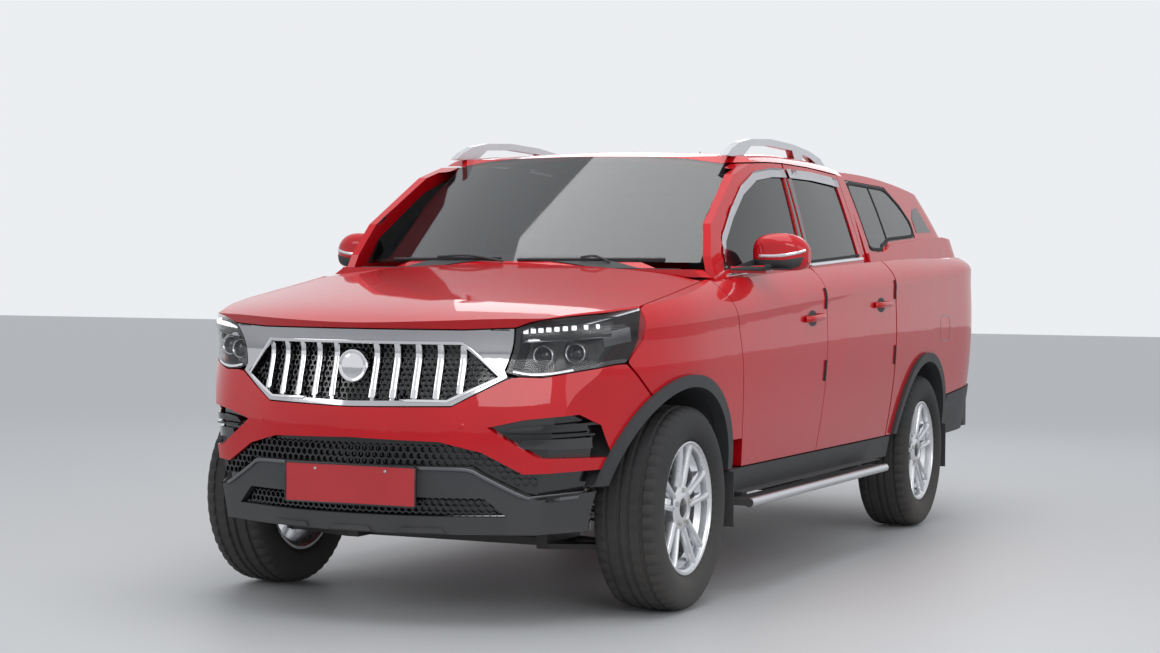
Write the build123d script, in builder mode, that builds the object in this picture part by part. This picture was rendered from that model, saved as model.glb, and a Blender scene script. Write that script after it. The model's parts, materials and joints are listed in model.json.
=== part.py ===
"""Double-cab pickup truck with a hardtop canopy, as separate named pieces.

Millimetres. +Z up, the front of the truck towards -Y, its left side at +X.
The origin is on the ground under the middle of the truck.
"""
from build123d import *
from functools import lru_cache
from math import cos, radians, sin, sqrt
import os

# ---------------------------------------------------------------- driving dimensions
OVERALL_LENGTH = 5405
FRONT_OVERHANG = 890
WHEELBASE = 3210
TRACK = 1640

TYRE_RADIUS = 378
TYRE_WIDTH = 255
TREAD_DEPTH = 8
TREAD_GROOVES = 4
GROOVE_WIDTH = 11
RIM_RADIUS = 246
RIM_WIDTH = 212
RIM_WALL = 9
HUB_RADIUS = 78
HUB_RECESS = 45
HUB_DEPTH = 46
SPOKES = 5
SPOKE_LEG_WIDTH = 27
SPOKE_OUTER_GAP = 62
SPOKE_INNER_GAP = 17
LUG_PCD = 130
LUG_HOLE_RADIUS = 12
DISC_RADIUS = 138
SPINDLE_RADIUS = 34
SPINDLE_CLEARANCE = 0.08
SEAT_GAP = 0.3

SHUT_GAP = 6
FRAME_SHUT_GAP = 12
HINGE_SETBACK = 45
DOOR_THICKNESS = 92
FRAME_THICKNESS = 34
GLASS_THICKNESS = 4.5
GLASS_SETBACK = 7
PANEL_THICKNESS = 26

GROUND_CLEARANCE = 215
SILL_Z = 487
SILL_BOTTOM_Z = 383
FLOOR_Z = 545
FLOOR_THICKNESS = 40
BELT_LEDGE = 12

ARCH_OUTER_RADIUS = 492
ARCH_INNER_RADIUS = 447
FLARE_PROUD = 18
LINER_THICKNESS = 4
LINER_GAP = 12

BED_FLOOR_Z = 762
BED_INNER_HALF = 790
BED_LENGTH = 1610
BED_WALL = 45
CAB_BED_GAP = 12
WHEELHOUSE_HALF = 560

KINGPIN_X = 760
CANOPY_GAP = 0.3
CANOPY_WALL = 22

FRONT_Y = -OVERALL_LENGTH / 2
TAIL_Y = OVERALL_LENGTH / 2
FRONT_AXLE_Y = FRONT_Y + FRONT_OVERHANG
REAR_AXLE_Y = FRONT_AXLE_Y + WHEELBASE
WHEEL_X = TRACK / 2
WHEEL_Z = TYRE_RADIUS

# Stations along the truck for the side of the body: (y, half width at its widest height).
SIDE_WIDTHS = [(-2780, 600), (-2600, 662), (-2450, 727), (-2300, 800), (-2200, 842), (-2100, 876), (-2000, 903), (-1900, 922),
               (-1780, 937), (-1600, 946), (-1300, 951), (-700, 953), (0, 954), (800, 955), (1500, 952),
               (2050, 948), (2300, 941), (2400, 926), (2465, 902), (2520, 866), (2570, 815), (2620, 735)]
# Height of the shoulder's upper edge: (y, z), the belt line beside the cab, the rail beside the bed.
RIM_HEIGHTS = [(-2450, 1118), (-2100, 1152), (-1700, 1192), (-1238, 1222), (-260, 1274), (620, 1312),
               (1100, 1331), (1600, 1345), (2260, 1358), (2620, 1362)]
CREASE_Z = 1083
CREASE_Y = -1366
CREASE_RISE = 0.0552

# The nose seen from above: (x, y) of its front face at grille height.
NOSE_PLAN = [(0, -2664), (210, -2640), (388, -2590), (517, -2534), (633, -2477), (715, -2412),
             (790, -2322), (860, -2205), (920, -2060)]

# The bonnet's surface: (y, height on the centre line) and its fall at the reference half width.
BONNET_HEIGHTS = [(-2720, 1052), (-2640, 1078), (-2560, 1098), (-2400, 1128), (-2100, 1172), (-1800, 1215),
                  (-1500, 1262), (-1340, 1290), (-1150, 1322)]
BONNET_FALL = 52
BONNET_REFERENCE_HALF = 850
BONNET_HALF = 838
BONNET_REAR_Y = -1412
BONNET_EDGE_Z = 1040

# Greenhouse stations: (y, half width at the belt, half width at the gutter, gutter z, roof centre z).
CAB_STATIONS = [(-1520, 815, 660, 1612, 1640), (-1275, 834, 690, 1652, 1684), (-900, 856, 716, 1684, 1722),
                (-650, 862, 728, 1709, 1757), (-430, 865, 732, 1726, 1781), (-200, 866, 735, 1733, 1794),
                (200, 864, 735, 1732, 1800), (520, 858, 733, 1723, 1793), (720, 852, 728, 1715, 1781)]
CAB_REAR_Y = 640
CAB_LOWER_REAR_Y = 824
SCREEN_RADIUS = 2330
SCREEN_BASE = (-1400, 1290)
SCREEN_TOP = (-757, 1742)
SCREEN_HALF_BASE = 753
SCREEN_HALF_TOP = 629
FRONT_DOOR_REAR_Y = -243


def along(stations, y, column=1):
    """Smooth value of one column of a station list at y."""
    rows = stations
    if y <= rows[0][0]:
        return rows[0][column]
    if y >= rows[-1][0]:
        return rows[-1][column]
    last = len(rows) - 1
    i = max(n for n in range(last) if rows[n][0] <= y)
    y0, y1 = rows[i][0], rows[i + 1][0]
    v0, v1 = rows[i][column], rows[i + 1][column]
    before, after = rows[max(i - 1, 0)], rows[min(i + 2, last)]
    slope0 = (v1 - before[column]) / (y1 - before[0])
    slope1 = (after[column] - v0) / (after[0] - y0)
    span = y1 - y0
    t = (y - y0) / span
    return ((1 + 2 * t) * (1 - t) ** 2 * v0 + t * (1 - t) ** 2 * span * slope0
            + t * t * (3 - 2 * t) * v1 + t * t * (t - 1) * span * slope1)


def crease_z(y):
    return CREASE_Z + CREASE_RISE * (y - CREASE_Y)


def belt_z(y):
    return along(RIM_HEIGHTS, y)


def body_half(y):
    return along(SIDE_WIDTHS, y)


def cross_plane(y):
    """Plane across the truck at y, with local axes X and Z."""
    return Plane.XZ.offset(-y)


def lengthwise_plane(x):
    """Plane along the truck at x, with local axes Y and Z."""
    return Plane.YZ.offset(x)


def side_prism(points, x_low, x_high, grow=0):
    """A polygon of (y, z) points, grown or shrunk, drawn out across the truck."""
    with BuildPart(mode=Mode.PRIVATE) as prism:
        with BuildSketch(lengthwise_plane(x_low)):
            with BuildLine():
                Polyline(*points, close=True)
            make_face()
            if grow:
                offset(amount=grow, kind=Kind.INTERSECTION)
        extrude(amount=x_high - x_low)
    return prism.part


def front_prism(points, y_low, y_high, grow=0):
    """A polygon of (x, z) points, grown or shrunk, drawn out along the truck."""
    with BuildPart(mode=Mode.PRIVATE) as prism:
        with BuildSketch(cross_plane(y_high)):
            with BuildLine():
                Polyline(*points, close=True)
            make_face()
            if grow:
                offset(amount=grow, kind=Kind.INTERSECTION)
        extrude(amount=y_high - y_low)
    return prism.part


def mirrored_front(half_points, y_low, y_high, grow=0):
    """A polygon given by its left half, from top centre to bottom centre, on both sides."""
    other = [(-x, z) for x, z in reversed(half_points) if x > 0]
    return front_prism(list(half_points) + other, y_low, y_high, grow)


def plan_prism(points, z_low, z_high):
    """A polygon of (x, y) points drawn upwards."""
    with BuildPart(mode=Mode.PRIVATE) as prism:
        with BuildSketch(Plane.XY.offset(z_low)):
            with BuildLine():
                Polyline(*points, close=True)
            make_face()
        extrude(amount=z_high - z_low)
    return prism.part


def block(x_low, x_high, y_low, y_high, z_low, z_high):
    """A plain block between two corners."""
    return plan_prism([(x_low, y_low), (x_high, y_low), (x_high, y_high), (x_low, y_high)], z_low, z_high)


def both_sides(piece):
    """A left-hand piece with its mirrored copy, as one part."""
    with BuildPart(mode=Mode.PRIVATE) as pair:
        add(piece)
        mirror(piece, about=Plane.YZ)
    return pair.part


# ---------------------------------------------------------------- forms that several pieces share
@lru_cache(maxsize=None)
def side_form(inset=0):
    """The body below the rim: sections across the truck, with a crease along each side."""
    with BuildPart(mode=Mode.PRIVATE) as form:
        for y, half in SIDE_WIDTHS:
            w = half - inset
            low, crease = 330, crease_z(y)
            rise = belt_z(y) - crease
            lower = [(w - 80, low), (w - 47, 500), (w - 20, 673), (w - 3, 850), (w, crease - 160),
                     (w - 4, crease - 60), (w - 3, crease)]
            upper = [(w - 3, crease), (w - 13, crease + 0.36 * rise), (w - 36, crease + 0.66 * rise),
                     (w - 78, crease + rise), (w - 135, crease + 1.32 * rise)]
            with BuildSketch(cross_plane(y)):
                top = (w - 220, upper[-1][1] + 220)
                with BuildLine():
                    Spline(*lower)
                    Spline(*upper)
                    Polyline(upper[-1], top, (-top[0], top[1]), (-upper[-1][0], upper[-1][1]))
                    Spline(*[(-x, z) for x, z in reversed(upper)])
                    Spline(*[(-x, z) for x, z in reversed(lower)])
                    Line((-lower[0][0], low), lower[0])
                make_face()
        loft()
    return form.part


@lru_cache(maxsize=None)
def bonnet_form(drop=0):
    """Everything under the bonnet's surface, lowered by drop."""
    reach, low = 1000, 600
    with BuildPart(mode=Mode.PRIVATE) as form:
        for y, height in BONNET_HEIGHTS:
            crown = [(x, height - drop - BONNET_FALL * abs(x / BONNET_REFERENCE_HALF) ** 2.4)
                     for x in (reach, 800, 550, 280, 0, -280, -550, -800, -reach)]
            with BuildSketch(cross_plane(y)):
                with BuildLine():
                    Line((-reach, low), (reach, low))
                    Line((reach, low), crown[0])
                    Spline(*crown)
                    Line(crown[-1], (-reach, low))
                make_face()
        loft()
    return form.part


@lru_cache(maxsize=None)
def nose_form(inset=0):
    """The front seen from above, lofted up through its levels."""
    rear = -1000
    with BuildPart(mode=Mode.PRIVATE) as form:
        for z, forward in NOSE_LEVELS:
            half = [(x, y - forward + inset) for x, y in NOSE_PLAN]
            front = [(-x, y) for x, y in reversed(half[1:])] + half
            with BuildSketch(Plane.XY.offset(z)):
                with BuildLine():
                    Spline(*front)
                    Line(front[-1], (front[-1][0], rear))
                    Line((front[-1][0], rear), (front[0][0], rear))
                    Line((front[0][0], rear), front[0])
                make_face()
        loft()
    return form.part


@lru_cache(maxsize=None)
def cab_form(inset=0):
    """The greenhouse with its roof, before the windscreen and rear wall cut it."""
    base_z = 1140
    with BuildPart(mode=Mode.PRIVATE) as form:
        for y, half_belt, half_gutter, gutter_z, roof_z in CAB_STATIONS:
            belt = belt_z(y)
            lean = (half_belt - half_gutter) / (gutter_z - belt)
            side = [(half_belt - inset + lean * (belt - base_z), base_z),
                    (half_belt - inset + 3, belt),
                    (half_belt - inset - lean * (gutter_z - belt) / 2 + 6, (belt + gutter_z) / 2),
                    (half_gutter - inset, gutter_z - inset / 2)]
            rise = roof_z - gutter_z
            roof = [(half_gutter - inset, gutter_z - inset / 2),
                    (half_gutter - 34 - inset, gutter_z + 0.42 * rise - inset),
                    (half_gutter - 130 - inset, gutter_z + 0.68 * rise - inset),
                    (0, roof_z - inset)]
            roof += [(-x, z) for x, z in reversed(roof[:-1])]
            with BuildSketch(cross_plane(y)):
                with BuildLine():
                    Spline(*side)
                    Spline(*roof)
                    Spline(*[(-x, z) for x, z in reversed(side)])
                    Line((-side[0][0], base_z), side[0])
                make_face()
        loft()
    return form.part


@lru_cache(maxsize=None)
def behind_screen(setback=0):
    """Everything behind the windscreen's surface, a raked cylinder."""
    rake = sqrt((SCREEN_TOP[0] - SCREEN_BASE[0]) ** 2 + (SCREEN_TOP[1] - SCREEN_BASE[1]) ** 2)
    along_y, along_z = (SCREEN_TOP[0] - SCREEN_BASE[0]) / rake, (SCREEN_TOP[1] - SCREEN_BASE[1]) / rake
    start = (0, SCREEN_BASE[0] - 500 * along_y, SCREEN_BASE[1] - 500 * along_z)
    plane = Plane(origin=start, x_dir=(1, 0, 0), z_dir=(0, along_y, along_z))
    half, depth = 1100, 3500
    sag = SCREEN_RADIUS - sqrt(SCREEN_RADIUS ** 2 - half ** 2)
    with BuildPart(mode=Mode.PRIVATE) as form:
        with BuildSketch(plane):
            with BuildLine():
                ThreePointArc((-half, sag + setback), (0, setback), (half, sag + setback))
                Polyline((half, sag + setback), (half, depth), (-half, depth), (-half, sag + setback))
            make_face()
        extrude(amount=rake + 3000)
    return form.part



def common(first, *others):
    """What all the given parts share."""
    with BuildPart(mode=Mode.PRIVATE) as shared:
        add(first)
        for other in others:
            add(other, mode=Mode.INTERSECT)
    return shared.part


def less(first, *others):
    """The first part with the others cut away."""
    with BuildPart(mode=Mode.PRIVATE) as rest:
        add(first)
        for other in others:
            add(other, mode=Mode.SUBTRACT)
    return rest.part


def joined(*parts):
    """All the given parts together."""
    with BuildPart(mode=Mode.PRIVATE) as whole:
        for piece in parts:
            add(piece)
    return whole.part


def cylinder_across(y, z, radius, x_low, x_high, bore=0):
    """A cylinder or ring whose axis runs across the truck."""
    with BuildPart(mode=Mode.PRIVATE) as drum:
        with BuildSketch(lengthwise_plane(x_low)):
            with Locations((y, z)):
                Circle(radius)
                if bore:
                    Circle(bore, mode=Mode.SUBTRACT)
        extrude(amount=x_high - x_low)
    return drum.part


# Pieces whose edges are also written as curves on their faces. The others leave those out, for smaller files.
FULLY_WRITTEN = ("canopy",)


def save(piece, name):
    """Labels a finished piece and writes it."""
    piece.label = name
    export_step(piece, f"parts/{name}.step", write_pcurves=name in FULLY_WRITTEN)
    print(name, len(piece.solids()), round(piece.volume / 1e6, 2))
    return piece


# ---------------------------------------------------------------- outlines, seen from the side (y, z)
DOOR_EDGE = [(-1182, SILL_Z), (-1242, 650), (-1303, 912), (-1342, 1061), (-1392, 1150), (-1440, 1219)]
A_PILLAR_LINE = [(-1292, 1312), (-1206, 1442), (-842, 1655), (-638, 1710)]
FRAME_TOP = [(-431, 1723), (-208, 1728), (100, 1728), (541, 1717)]
B_LINE_Y = FRONT_DOOR_REAR_Y + SHUT_GAP / 2
REAR_EDGE_Y = CAB_LOWER_REAR_Y - 3
C_LINE = [(544, 1705), (606, 1330)]


def belt_points(y_low, y_high, lift=0, step=260):
    """Points along the belt line between two stations."""
    count = max(2, round((y_high - y_low) / step) + 1)
    stations = [y_low + (y_high - y_low) * i / (count - 1) for i in range(count)]
    return [(y, belt_z(y) + lift) for y in stations]


def front_door_lower():
    rear = FRONT_DOOR_REAR_Y
    return DOOR_EDGE + belt_points(DOOR_EDGE[-1][0] + 20, rear) + [(rear, SILL_Z)]


def rear_door_lower():
    front = FRONT_DOOR_REAR_Y + SHUT_GAP
    return [(front, SILL_Z)] + belt_points(front, REAR_EDGE_Y) + [(REAR_EDGE_Y, SILL_Z)]


def front_frame():
    rear = B_LINE_Y - FRAME_SHUT_GAP / 2
    foot = A_PILLAR_LINE[0][0] - 22
    top = [point for point in FRAME_TOP if point[0] < rear]
    return ([(foot, belt_z(foot) - 50)] + [(foot, belt_z(foot))] + A_PILLAR_LINE + top
            + [(rear, 1728), (rear, belt_z(rear) - 50)])


def rear_frame():
    front = B_LINE_Y + FRAME_SHUT_GAP / 2
    top = [point for point in FRAME_TOP if point[0] > front]
    return [(front, belt_z(front) - 50), (front, 1728)] + top + C_LINE + [(608, belt_z(608) - 50)]


FRONT_GLASS = [(-1205, 1262), (-1150, 1392), (-826, 1600), (-630, 1668), (-431, 1690), (-276, 1696),
               (-308, 1290)]
REAR_GLASS = [(-200, 1293), (-172, 1697), (100, 1698), (488, 1688), (538, 1333)]
WINDSCREEN_HALF = [(0, 1748), (250, 1744), (470, 1731), (SCREEN_HALF_TOP, 1709), (SCREEN_HALF_BASE, 1287),
                   (0, 1287)]

# ---------------------------------------------------------------- outlines, seen from the front (x, z)
BONNET_EDGE = [(0, BONNET_EDGE_Z), (400, BONNET_EDGE_Z), (566, 1048), (617, 1068), (709, 1088), (782, 1100),
               (BONNET_HALF, 1116)]
GRILLE_OUTER = [(0, 1035), (400, 1035), (560, 1043), (520, 900), (532, 875), (366, 776), (0, 768)]
GRILLE_OPENING = [(0, 989), (381, 989), (506, 874), (346, 794), (0, 786)]
LAMP_OUTLINE = [(564, 1043), (617, 1063), (709, 1083), (782, 1095), (860, 1119), (900, 1119), (900, 922),
                (822, 922), (779, 908), (643, 878), (569, 880), (524, 892)]
BUMPER_OUTLINE = [(0, 764), (364, 771), (536, 869), (569, 875), (643, 873), (779, 903), (824, 917), (960, 917),
                  (960, 486), (813, 486), (806, 550), (595, 542), (465, 616), (329, 651), (0, 660)]
FOG_OUTLINE = [(482, 702), (600, 730), (742, 746), (784, 706), (800, 590), (640, 598), (508, 682)]
GUARD_OUTLINE = [(0, 566), (430, 566), (465, 541), (632, 451), (808, 480), (960, 480), (960, 432), (862, 432),
                 (815, 334), (700, 297), (393, 282), (0, 277)]
GUARD_OPENING = [(0, 458), (470, 458), (540, 392), (0, 392)]
NOSE_LEVELS = [(250, 2), (335, 14), (450, 28), (560, 36), (660, 38.5), (780, 30), (880, 6), (1000, 0),
               (1180, 0), (1400, 0)]


NOSE_SKIN = 40
PLATE_Z = 495
PLATE_REAR_Y = -2684
ARCH_CUT = ARCH_INNER_RADIUS + 8
CAB_SHELL = 56
SCUTTLE_Z = 1229
B_POST_GAP = 12
REAR_WINDOW = [(0, 1655), (600, 1640), (655, 1395), (0, 1395)]
FENDER_OUTLINE = [(-2093, 1300), (-2093, 1118), (-2117, 1002), (-2199, 925), (-2060, 806), (-1900, 700),
                  (-1400, SILL_Z)] + [(y - SHUT_GAP, z) for y, z in DOOR_EDGE] + [(-1446, 1300)]
BUMPER_SIDE = [(-2800, 300), (-2800, 1000), (-2199, 1000), (-2205, 917), (-2066, 800), (-1900, 640), (-1900, 300)]
BACKING = [(0, 1028), (400, 1028), (548, 1034), (505, 885), (548, 866), (830, 866), (830, 500), (700, 400),
           (0, 385)]
BACKING_REAR_Y = -2285
BAR_FIRST, BAR_PITCH, BAR_COUNT, BAR_WIDTH = 80, 76, 5, 14
LENS_THICKNESS = 4
LAMP_DEPTH = 150
LAMP_POCKET = 95
LAMP_SIDE = [(-2800, 800), (-2800, 1300), (-2099, 1300), (-2099, 1118), (-2123, 1002), (-2205, 928), (-2300, 860)]


@lru_cache(maxsize=None)
def front_end():
    """Outer form of the nose, bonnet and front fenders together."""
    return common(side_form(), bonnet_form(), nose_form())


def arch_cut(axle_y):
    """The opening over one left wheel."""
    return cylinder_across(axle_y, WHEEL_Z, ARCH_CUT, WHEELHOUSE_HALF + 15, 1100)


def bumper_arch():
    return both_sides(cylinder_across(FRONT_AXLE_Y, WHEEL_Z, ARCH_OUTER_RADIUS - 20, 500, 1100))


# ---------------------------------------------------------------- doors, left-hand
def make_door(lower_outline, frame_outline, glass_outline):
    lower = less(common(side_prism(lower_outline, 500, 1100), side_form()), side_form(DOOR_THICKNESS))
    upper = less(common(side_prism(frame_outline, 500, 1100), cab_form()), cab_form(FRAME_THICKNESS))
    hole = side_prism(glass_outline, 500, 1100, -14)
    rebate = less(side_prism(glass_outline, 500, 1100), cab_form(GLASS_SETBACK + GLASS_THICKNESS + SEAT_GAP))
    return less(joined(lower, upper), hole, rebate)


def make_glass(glass_outline):
    return less(common(side_prism(glass_outline, 500, 1100, -0.5), cab_form(GLASS_SETBACK)),
                cab_form(GLASS_SETBACK + GLASS_THICKNESS))


def front_door():
    beside_screen = mirrored_front(WINDSCREEN_HALF, -1600, -560, 10)
    rebate = block(600, 880, B_LINE_Y - 14, B_LINE_Y + 10, 430, 1290)
    swing_room = block(600, 1100, B_LINE_Y - 13, B_LINE_Y + 10, 1262, 1760)
    return less(make_door(front_door_lower(), front_frame(), FRONT_GLASS), beside_screen, rebate, swing_room)


def rear_door():
    return make_door(rear_door_lower(), rear_frame(), REAR_GLASS)


def mirror_housing():
    """Door mirror, left: a rounded shell on a short arm from the door's front corner."""
    with BuildPart(mode=Mode.PRIVATE) as shell:
        for x, y, z, deep, tall in MIRROR_SECTIONS:
            with BuildSketch(lengthwise_plane(x)):
                with Locations((y, z)):
                    RectangleRounded(deep, tall, 0.42 * min(deep, tall))
        loft()
    with BuildPart(mode=Mode.PRIVATE) as arm:
        for x, y, z, deep, tall in MIRROR_ARM:
            with BuildSketch(lengthwise_plane(x)):
                with Locations((y, z)):
                    RectangleRounded(deep, tall, 0.35 * min(deep, tall))
        loft()
    return less(joined(shell.part, arm.part), cab_form(-SEAT_GAP))


MIRROR_SECTIONS = [(868, -945, 1332, 60, 70), (890, -942, 1334, 96, 122), (960, -935, 1336, 116, 150),
                   (1040, -922, 1330, 104, 136), (1074, -912, 1322, 72, 96), (1086, -908, 1318, 40, 56)]
MIRROR_ARM = [(838, -1120, 1262, 70, 26), (880, -1040, 1262, 60, 28), (930, -960, 1266, 70, 34)]


# ---------------------------------------------------------------- cab body
POST_STEP_Z, POST_INNER_X = 1285, 742


def cab_shell():
    behind = block(-1100, 1100, -3000, CAB_REAR_Y, 0, 3000)
    inside = block(-1100, 1100, -3000, CAB_REAR_Y - CAB_SHELL, 0, 3000)
    outer = common(cab_form(), behind_screen(), behind)
    inner = common(cab_form(CAB_SHELL), behind_screen(CAB_SHELL), inside)
    low = front_prism([(-1000, 1000), (1000, 1000), (1000, 1222), (-1000, 1222)], -3000, 3000)
    under_doors = both_sides(joined(block(700, 1100, -1000, 561, 1100, 1262),
                                    block(784, 1100, 560, CAB_REAR_Y + 10, 1100, 1318)))
    behind_bonnet = block(-1100, 1100, -1700, BONNET_REAR_Y, 1100, 1400)
    shell = less(outer, inner, low, under_doors, behind_bonnet)
    for outline in (front_frame(), rear_frame()):
        opening = side_prism(outline, 400, 1100, SHUT_GAP)
        shell = less(shell, both_sides(opening))
    screen_hole = mirrored_front(WINDSCREEN_HALF, -1600, -500, -24)
    screen_rebate = less(mirrored_front(WINDSCREEN_HALF, -1600, -500),
                         behind_screen(GLASS_THICKNESS + 2 * SEAT_GAP))
    return less(shell, screen_hole, screen_rebate)


def b_post():
    """Post between the left doors, stepped inwards under the belt."""
    y_low, y_high = B_LINE_Y - 38, B_LINE_Y + 47
    reach = cab_form(FRAME_THICKNESS + B_POST_GAP)
    upper = less(common(block(500, 1100, y_low, y_high, POST_STEP_Z, 1750), reach),
                 cab_form(FRAME_THICKNESS + B_POST_GAP + 34))
    ledge = common(block(POST_INNER_X, 1100, y_low, y_high, POST_STEP_Z, POST_STEP_Z + 60), reach)
    lower = common(block(POST_INNER_X, 838, y_low - 5, y_high - 14, FLOOR_Z - 5, POST_STEP_Z + 5),
                   side_form(DOOR_THICKNESS + 8))
    return joined(upper, ledge, lower)


def hinge_pillar():
    outline = [(y - SHUT_GAP, z) for y, z in DOOR_EDGE] + [(-1480, 1219), (-1480, 800), (-1392, 600),
                                                          (-1326, SILL_Z)]
    skin = common(side_form(PANEL_THICKNESS + SEAT_GAP), side_prism(outline, 690, 1100))
    return common(skin, bonnet_form(PANEL_THICKNESS + SEAT_GAP))


def door_seats():
    """Hinge pads, striker pads and sill seals that the left doors close on."""
    side_seat = side_form(DOOR_THICKNESS + SEAT_GAP)
    pads = [common(block(800, 930, -286, -248, z - 30, z + 30), side_seat) for z in (700, 1080)]
    pads += [common(block(780, 930, CAB_LOWER_REAR_Y - 40, CAB_LOWER_REAR_Y - 2, z - 30, z + 30), side_seat)
             for z in (700, 1080)]
    pads.append(common(block(790, 900, -70, 740, FLOOR_Z - 35, FLOOR_Z - 3), side_seat))
    for low, high in (HINGE_LOW, HINGE_HIGH):
        (y0, z0), (y1, z1) = low, high
        shape = [(y0 - SEAT_GAP, z0), (y1 - SEAT_GAP, z1), (y1 - 12, z1), (y0 - 12, z0)]
        pads.append(common(side_prism(shape, 860, 925), side_form(PANEL_THICKNESS + 2)))
    return joined(*pads)


def edge_at(z):
    """Where the front door's leading edge lies at height z."""
    for (y0, z0), (y1, z1) in zip(DOOR_EDGE, DOOR_EDGE[1:]):
        if z0 <= z <= z1:
            return y0 + (y1 - y0) * (z - z0) / (z1 - z0), z
    return DOOR_EDGE[-1]


HINGE_LOW = (edge_at(720), edge_at(770))
HINGE_HIGH = (edge_at(930), edge_at(980))


def scuttle():
    """The cowl under the windscreen, low enough to clear the bonnet."""
    under_bonnet = common(side_prism([(-1480, 1180), (-1447, 1180), (-1447, SCUTTLE_Z), (-1405, SCUTTLE_Z),
                                      (-1405, 1300), (-1480, 1300)], -1100, 1100),
                          bonnet_form(PANEL_THICKNESS + 8))
    cowl = joined(under_bonnet, block(-1100, 1100, -1410, -1322, SCUTTLE_Z, SCUTTLE_Z + 30),
                  block(-765, 765, -1325, -1285, SCUTTLE_Z, SCUTTLE_Z + 30))
    hinge = common(block(480, 560, -1478, -1450, 1190, 1300), bonnet_form(PANEL_THICKNESS + SEAT_GAP))
    return joined(common(cowl, side_form(PANEL_THICKNESS + 6)), both_sides(hinge))


FLOOR_HALF = 795
TOE_TOP_Z = 1190


def cab_body():
    floor = block(-FLOOR_HALF, FLOOR_HALF, -1346, CAB_LOWER_REAR_Y, FLOOR_Z - FLOOR_THICKNESS, FLOOR_Z)
    toe_board = side_prism([(-1346, 505), (-1300, 505), (-1300, 585), (-1436, 790), (-1436, TOE_TOP_Z),
                            (-1480, TOE_TOP_Z), (-1480, 790), (-1346, 580)], -700, 700)
    sill = common(side_prism([(-1330, SILL_BOTTOM_Z + 12), (CAB_LOWER_REAR_Y, SILL_BOTTOM_Z + 12),
                              (CAB_LOWER_REAR_Y, SILL_Z - 7), (-1330, SILL_Z - 7)], 735, 1100),
                  side_form(22))
    rocker = block(735, 800, -1326, CAB_LOWER_REAR_Y, SILL_Z - 40, FLOOR_Z)
    rear_low = common(block(-1100, 1100, CAB_LOWER_REAR_Y - 40, CAB_LOWER_REAR_Y, 505, 1306),
                      side_form(DOOR_THICKNESS + 8))
    shelf = common(block(-1100, 1100, CAB_REAR_Y - CAB_SHELL, CAB_LOWER_REAR_Y, 1268, 1306),
                   side_form(DOOR_THICKNESS + 8))
    left = joined(b_post(), hinge_pillar(), sill, rocker, door_seats())
    rear_hole = mirrored_front(REAR_WINDOW, CAB_REAR_Y - 100, CAB_REAR_Y + 100, -20)
    rear_rebate = mirrored_front(REAR_WINDOW, CAB_REAR_Y - GLASS_THICKNESS - 2 * SEAT_GAP, CAB_REAR_Y + 100)
    whole = joined(cab_shell(), floor, toe_board, scuttle(), both_sides(left), rear_low, shelf)
    return less(whole, rear_hole, rear_rebate)


def windscreen():
    return less(common(mirrored_front(WINDSCREEN_HALF, -1600, -500, -0.5), behind_screen(SEAT_GAP), cab_form(1)),
                behind_screen(SEAT_GAP + GLASS_THICKNESS))


def cab_rear_window():
    return mirrored_front(REAR_WINDOW, CAB_REAR_Y - GLASS_THICKNESS - SEAT_GAP, CAB_REAR_Y - SEAT_GAP, -0.5)


# ---------------------------------------------------------------- fenders and bonnet
def fender():
    area = side_prism(FENDER_OUTLINE, 500, 1100)
    outer = common(area, side_form(), bonnet_form())
    inner = common(area, side_form(PANEL_THICKNESS), bonnet_form(PANEL_THICKNESS))
    beside_bonnet = block(0, BONNET_HALF + SHUT_GAP, -3000, -1000, 0, 3000)
    return less(outer, inner, beside_bonnet, arch_cut(FRONT_AXLE_Y))


def bonnet():
    inner = common(bonnet_form(PANEL_THICKNESS), nose_form(PANEL_THICKNESS))
    rear = [(-BONNET_HALF, -2800), (BONNET_HALF, -2800), (BONNET_HALF, -1486), (700, -1452), (350, -1428),
            (0, -1420), (-350, -1428), (-700, -1452), (-BONNET_HALF, -1486)]
    return common(less(front_end(), inner), plan_prism(rear, 900, 1500),
                  mirrored_front([(0, 1500), (BONNET_HALF, 1500)] + BONNET_EDGE[::-1], -2800, -1000))


# ---------------------------------------------------------------- nose: grille, bumper, lamps
def grille():
    """Frame round the six-sided opening, with its upright bars."""
    frame = less(common(mirrored_front(GRILLE_OUTER, -2800, -2300), front_end()), nose_form(NOSE_SKIN),
                 mirrored_front(GRILLE_OPENING, -2800, -2300))
    columns = [block(x - BAR_WIDTH / 2, x + BAR_WIDTH / 2, -2800, -2300, 700, 1010)
               for k in range(BAR_COUNT) for x in (BAR_FIRST + k * BAR_PITCH, -BAR_FIRST - k * BAR_PITCH)]
    bars = less(common(joined(*columns), mirrored_front(GRILLE_OPENING, -2800, -2300, 2), nose_form(8)),
                nose_form(NOSE_SKIN - 6))
    return joined(frame, bars)


@lru_cache(maxsize=None)
def nose_core(inset=0):
    """The bumper's form, between the body sides and the nose."""
    return common(nose_form(inset), side_form(inset))


def front_bumper():
    body = common(mirrored_front(BUMPER_OUTLINE, -2800, -1900), side_prism(BUMPER_SIDE, -1100, 1100), nose_core())
    return less(body, nose_core(NOSE_SKIN), both_sides(front_prism(FOG_OUTLINE, -2800, -1900)), bumper_arch(),
                plate_recess())


def bumper_guard():
    body = common(mirrored_front(GUARD_OUTLINE, -2800, -1900), nose_core())
    return less(body, nose_core(NOSE_SKIN), mirrored_front(GUARD_OPENING, -2800, -2300), bumper_arch(),
                plate_recess())


def nose_backing():
    return less(common(mirrored_front(BACKING, -2800, BACKING_REAR_Y), nose_core(NOSE_SKIN + SEAT_GAP)),
                nose_core(NOSE_SKIN + 8))


def lamp_prism():
    return common(front_prism(LAMP_OUTLINE, -2800, -2000), side_prism(LAMP_SIDE, 400, 1100))


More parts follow.
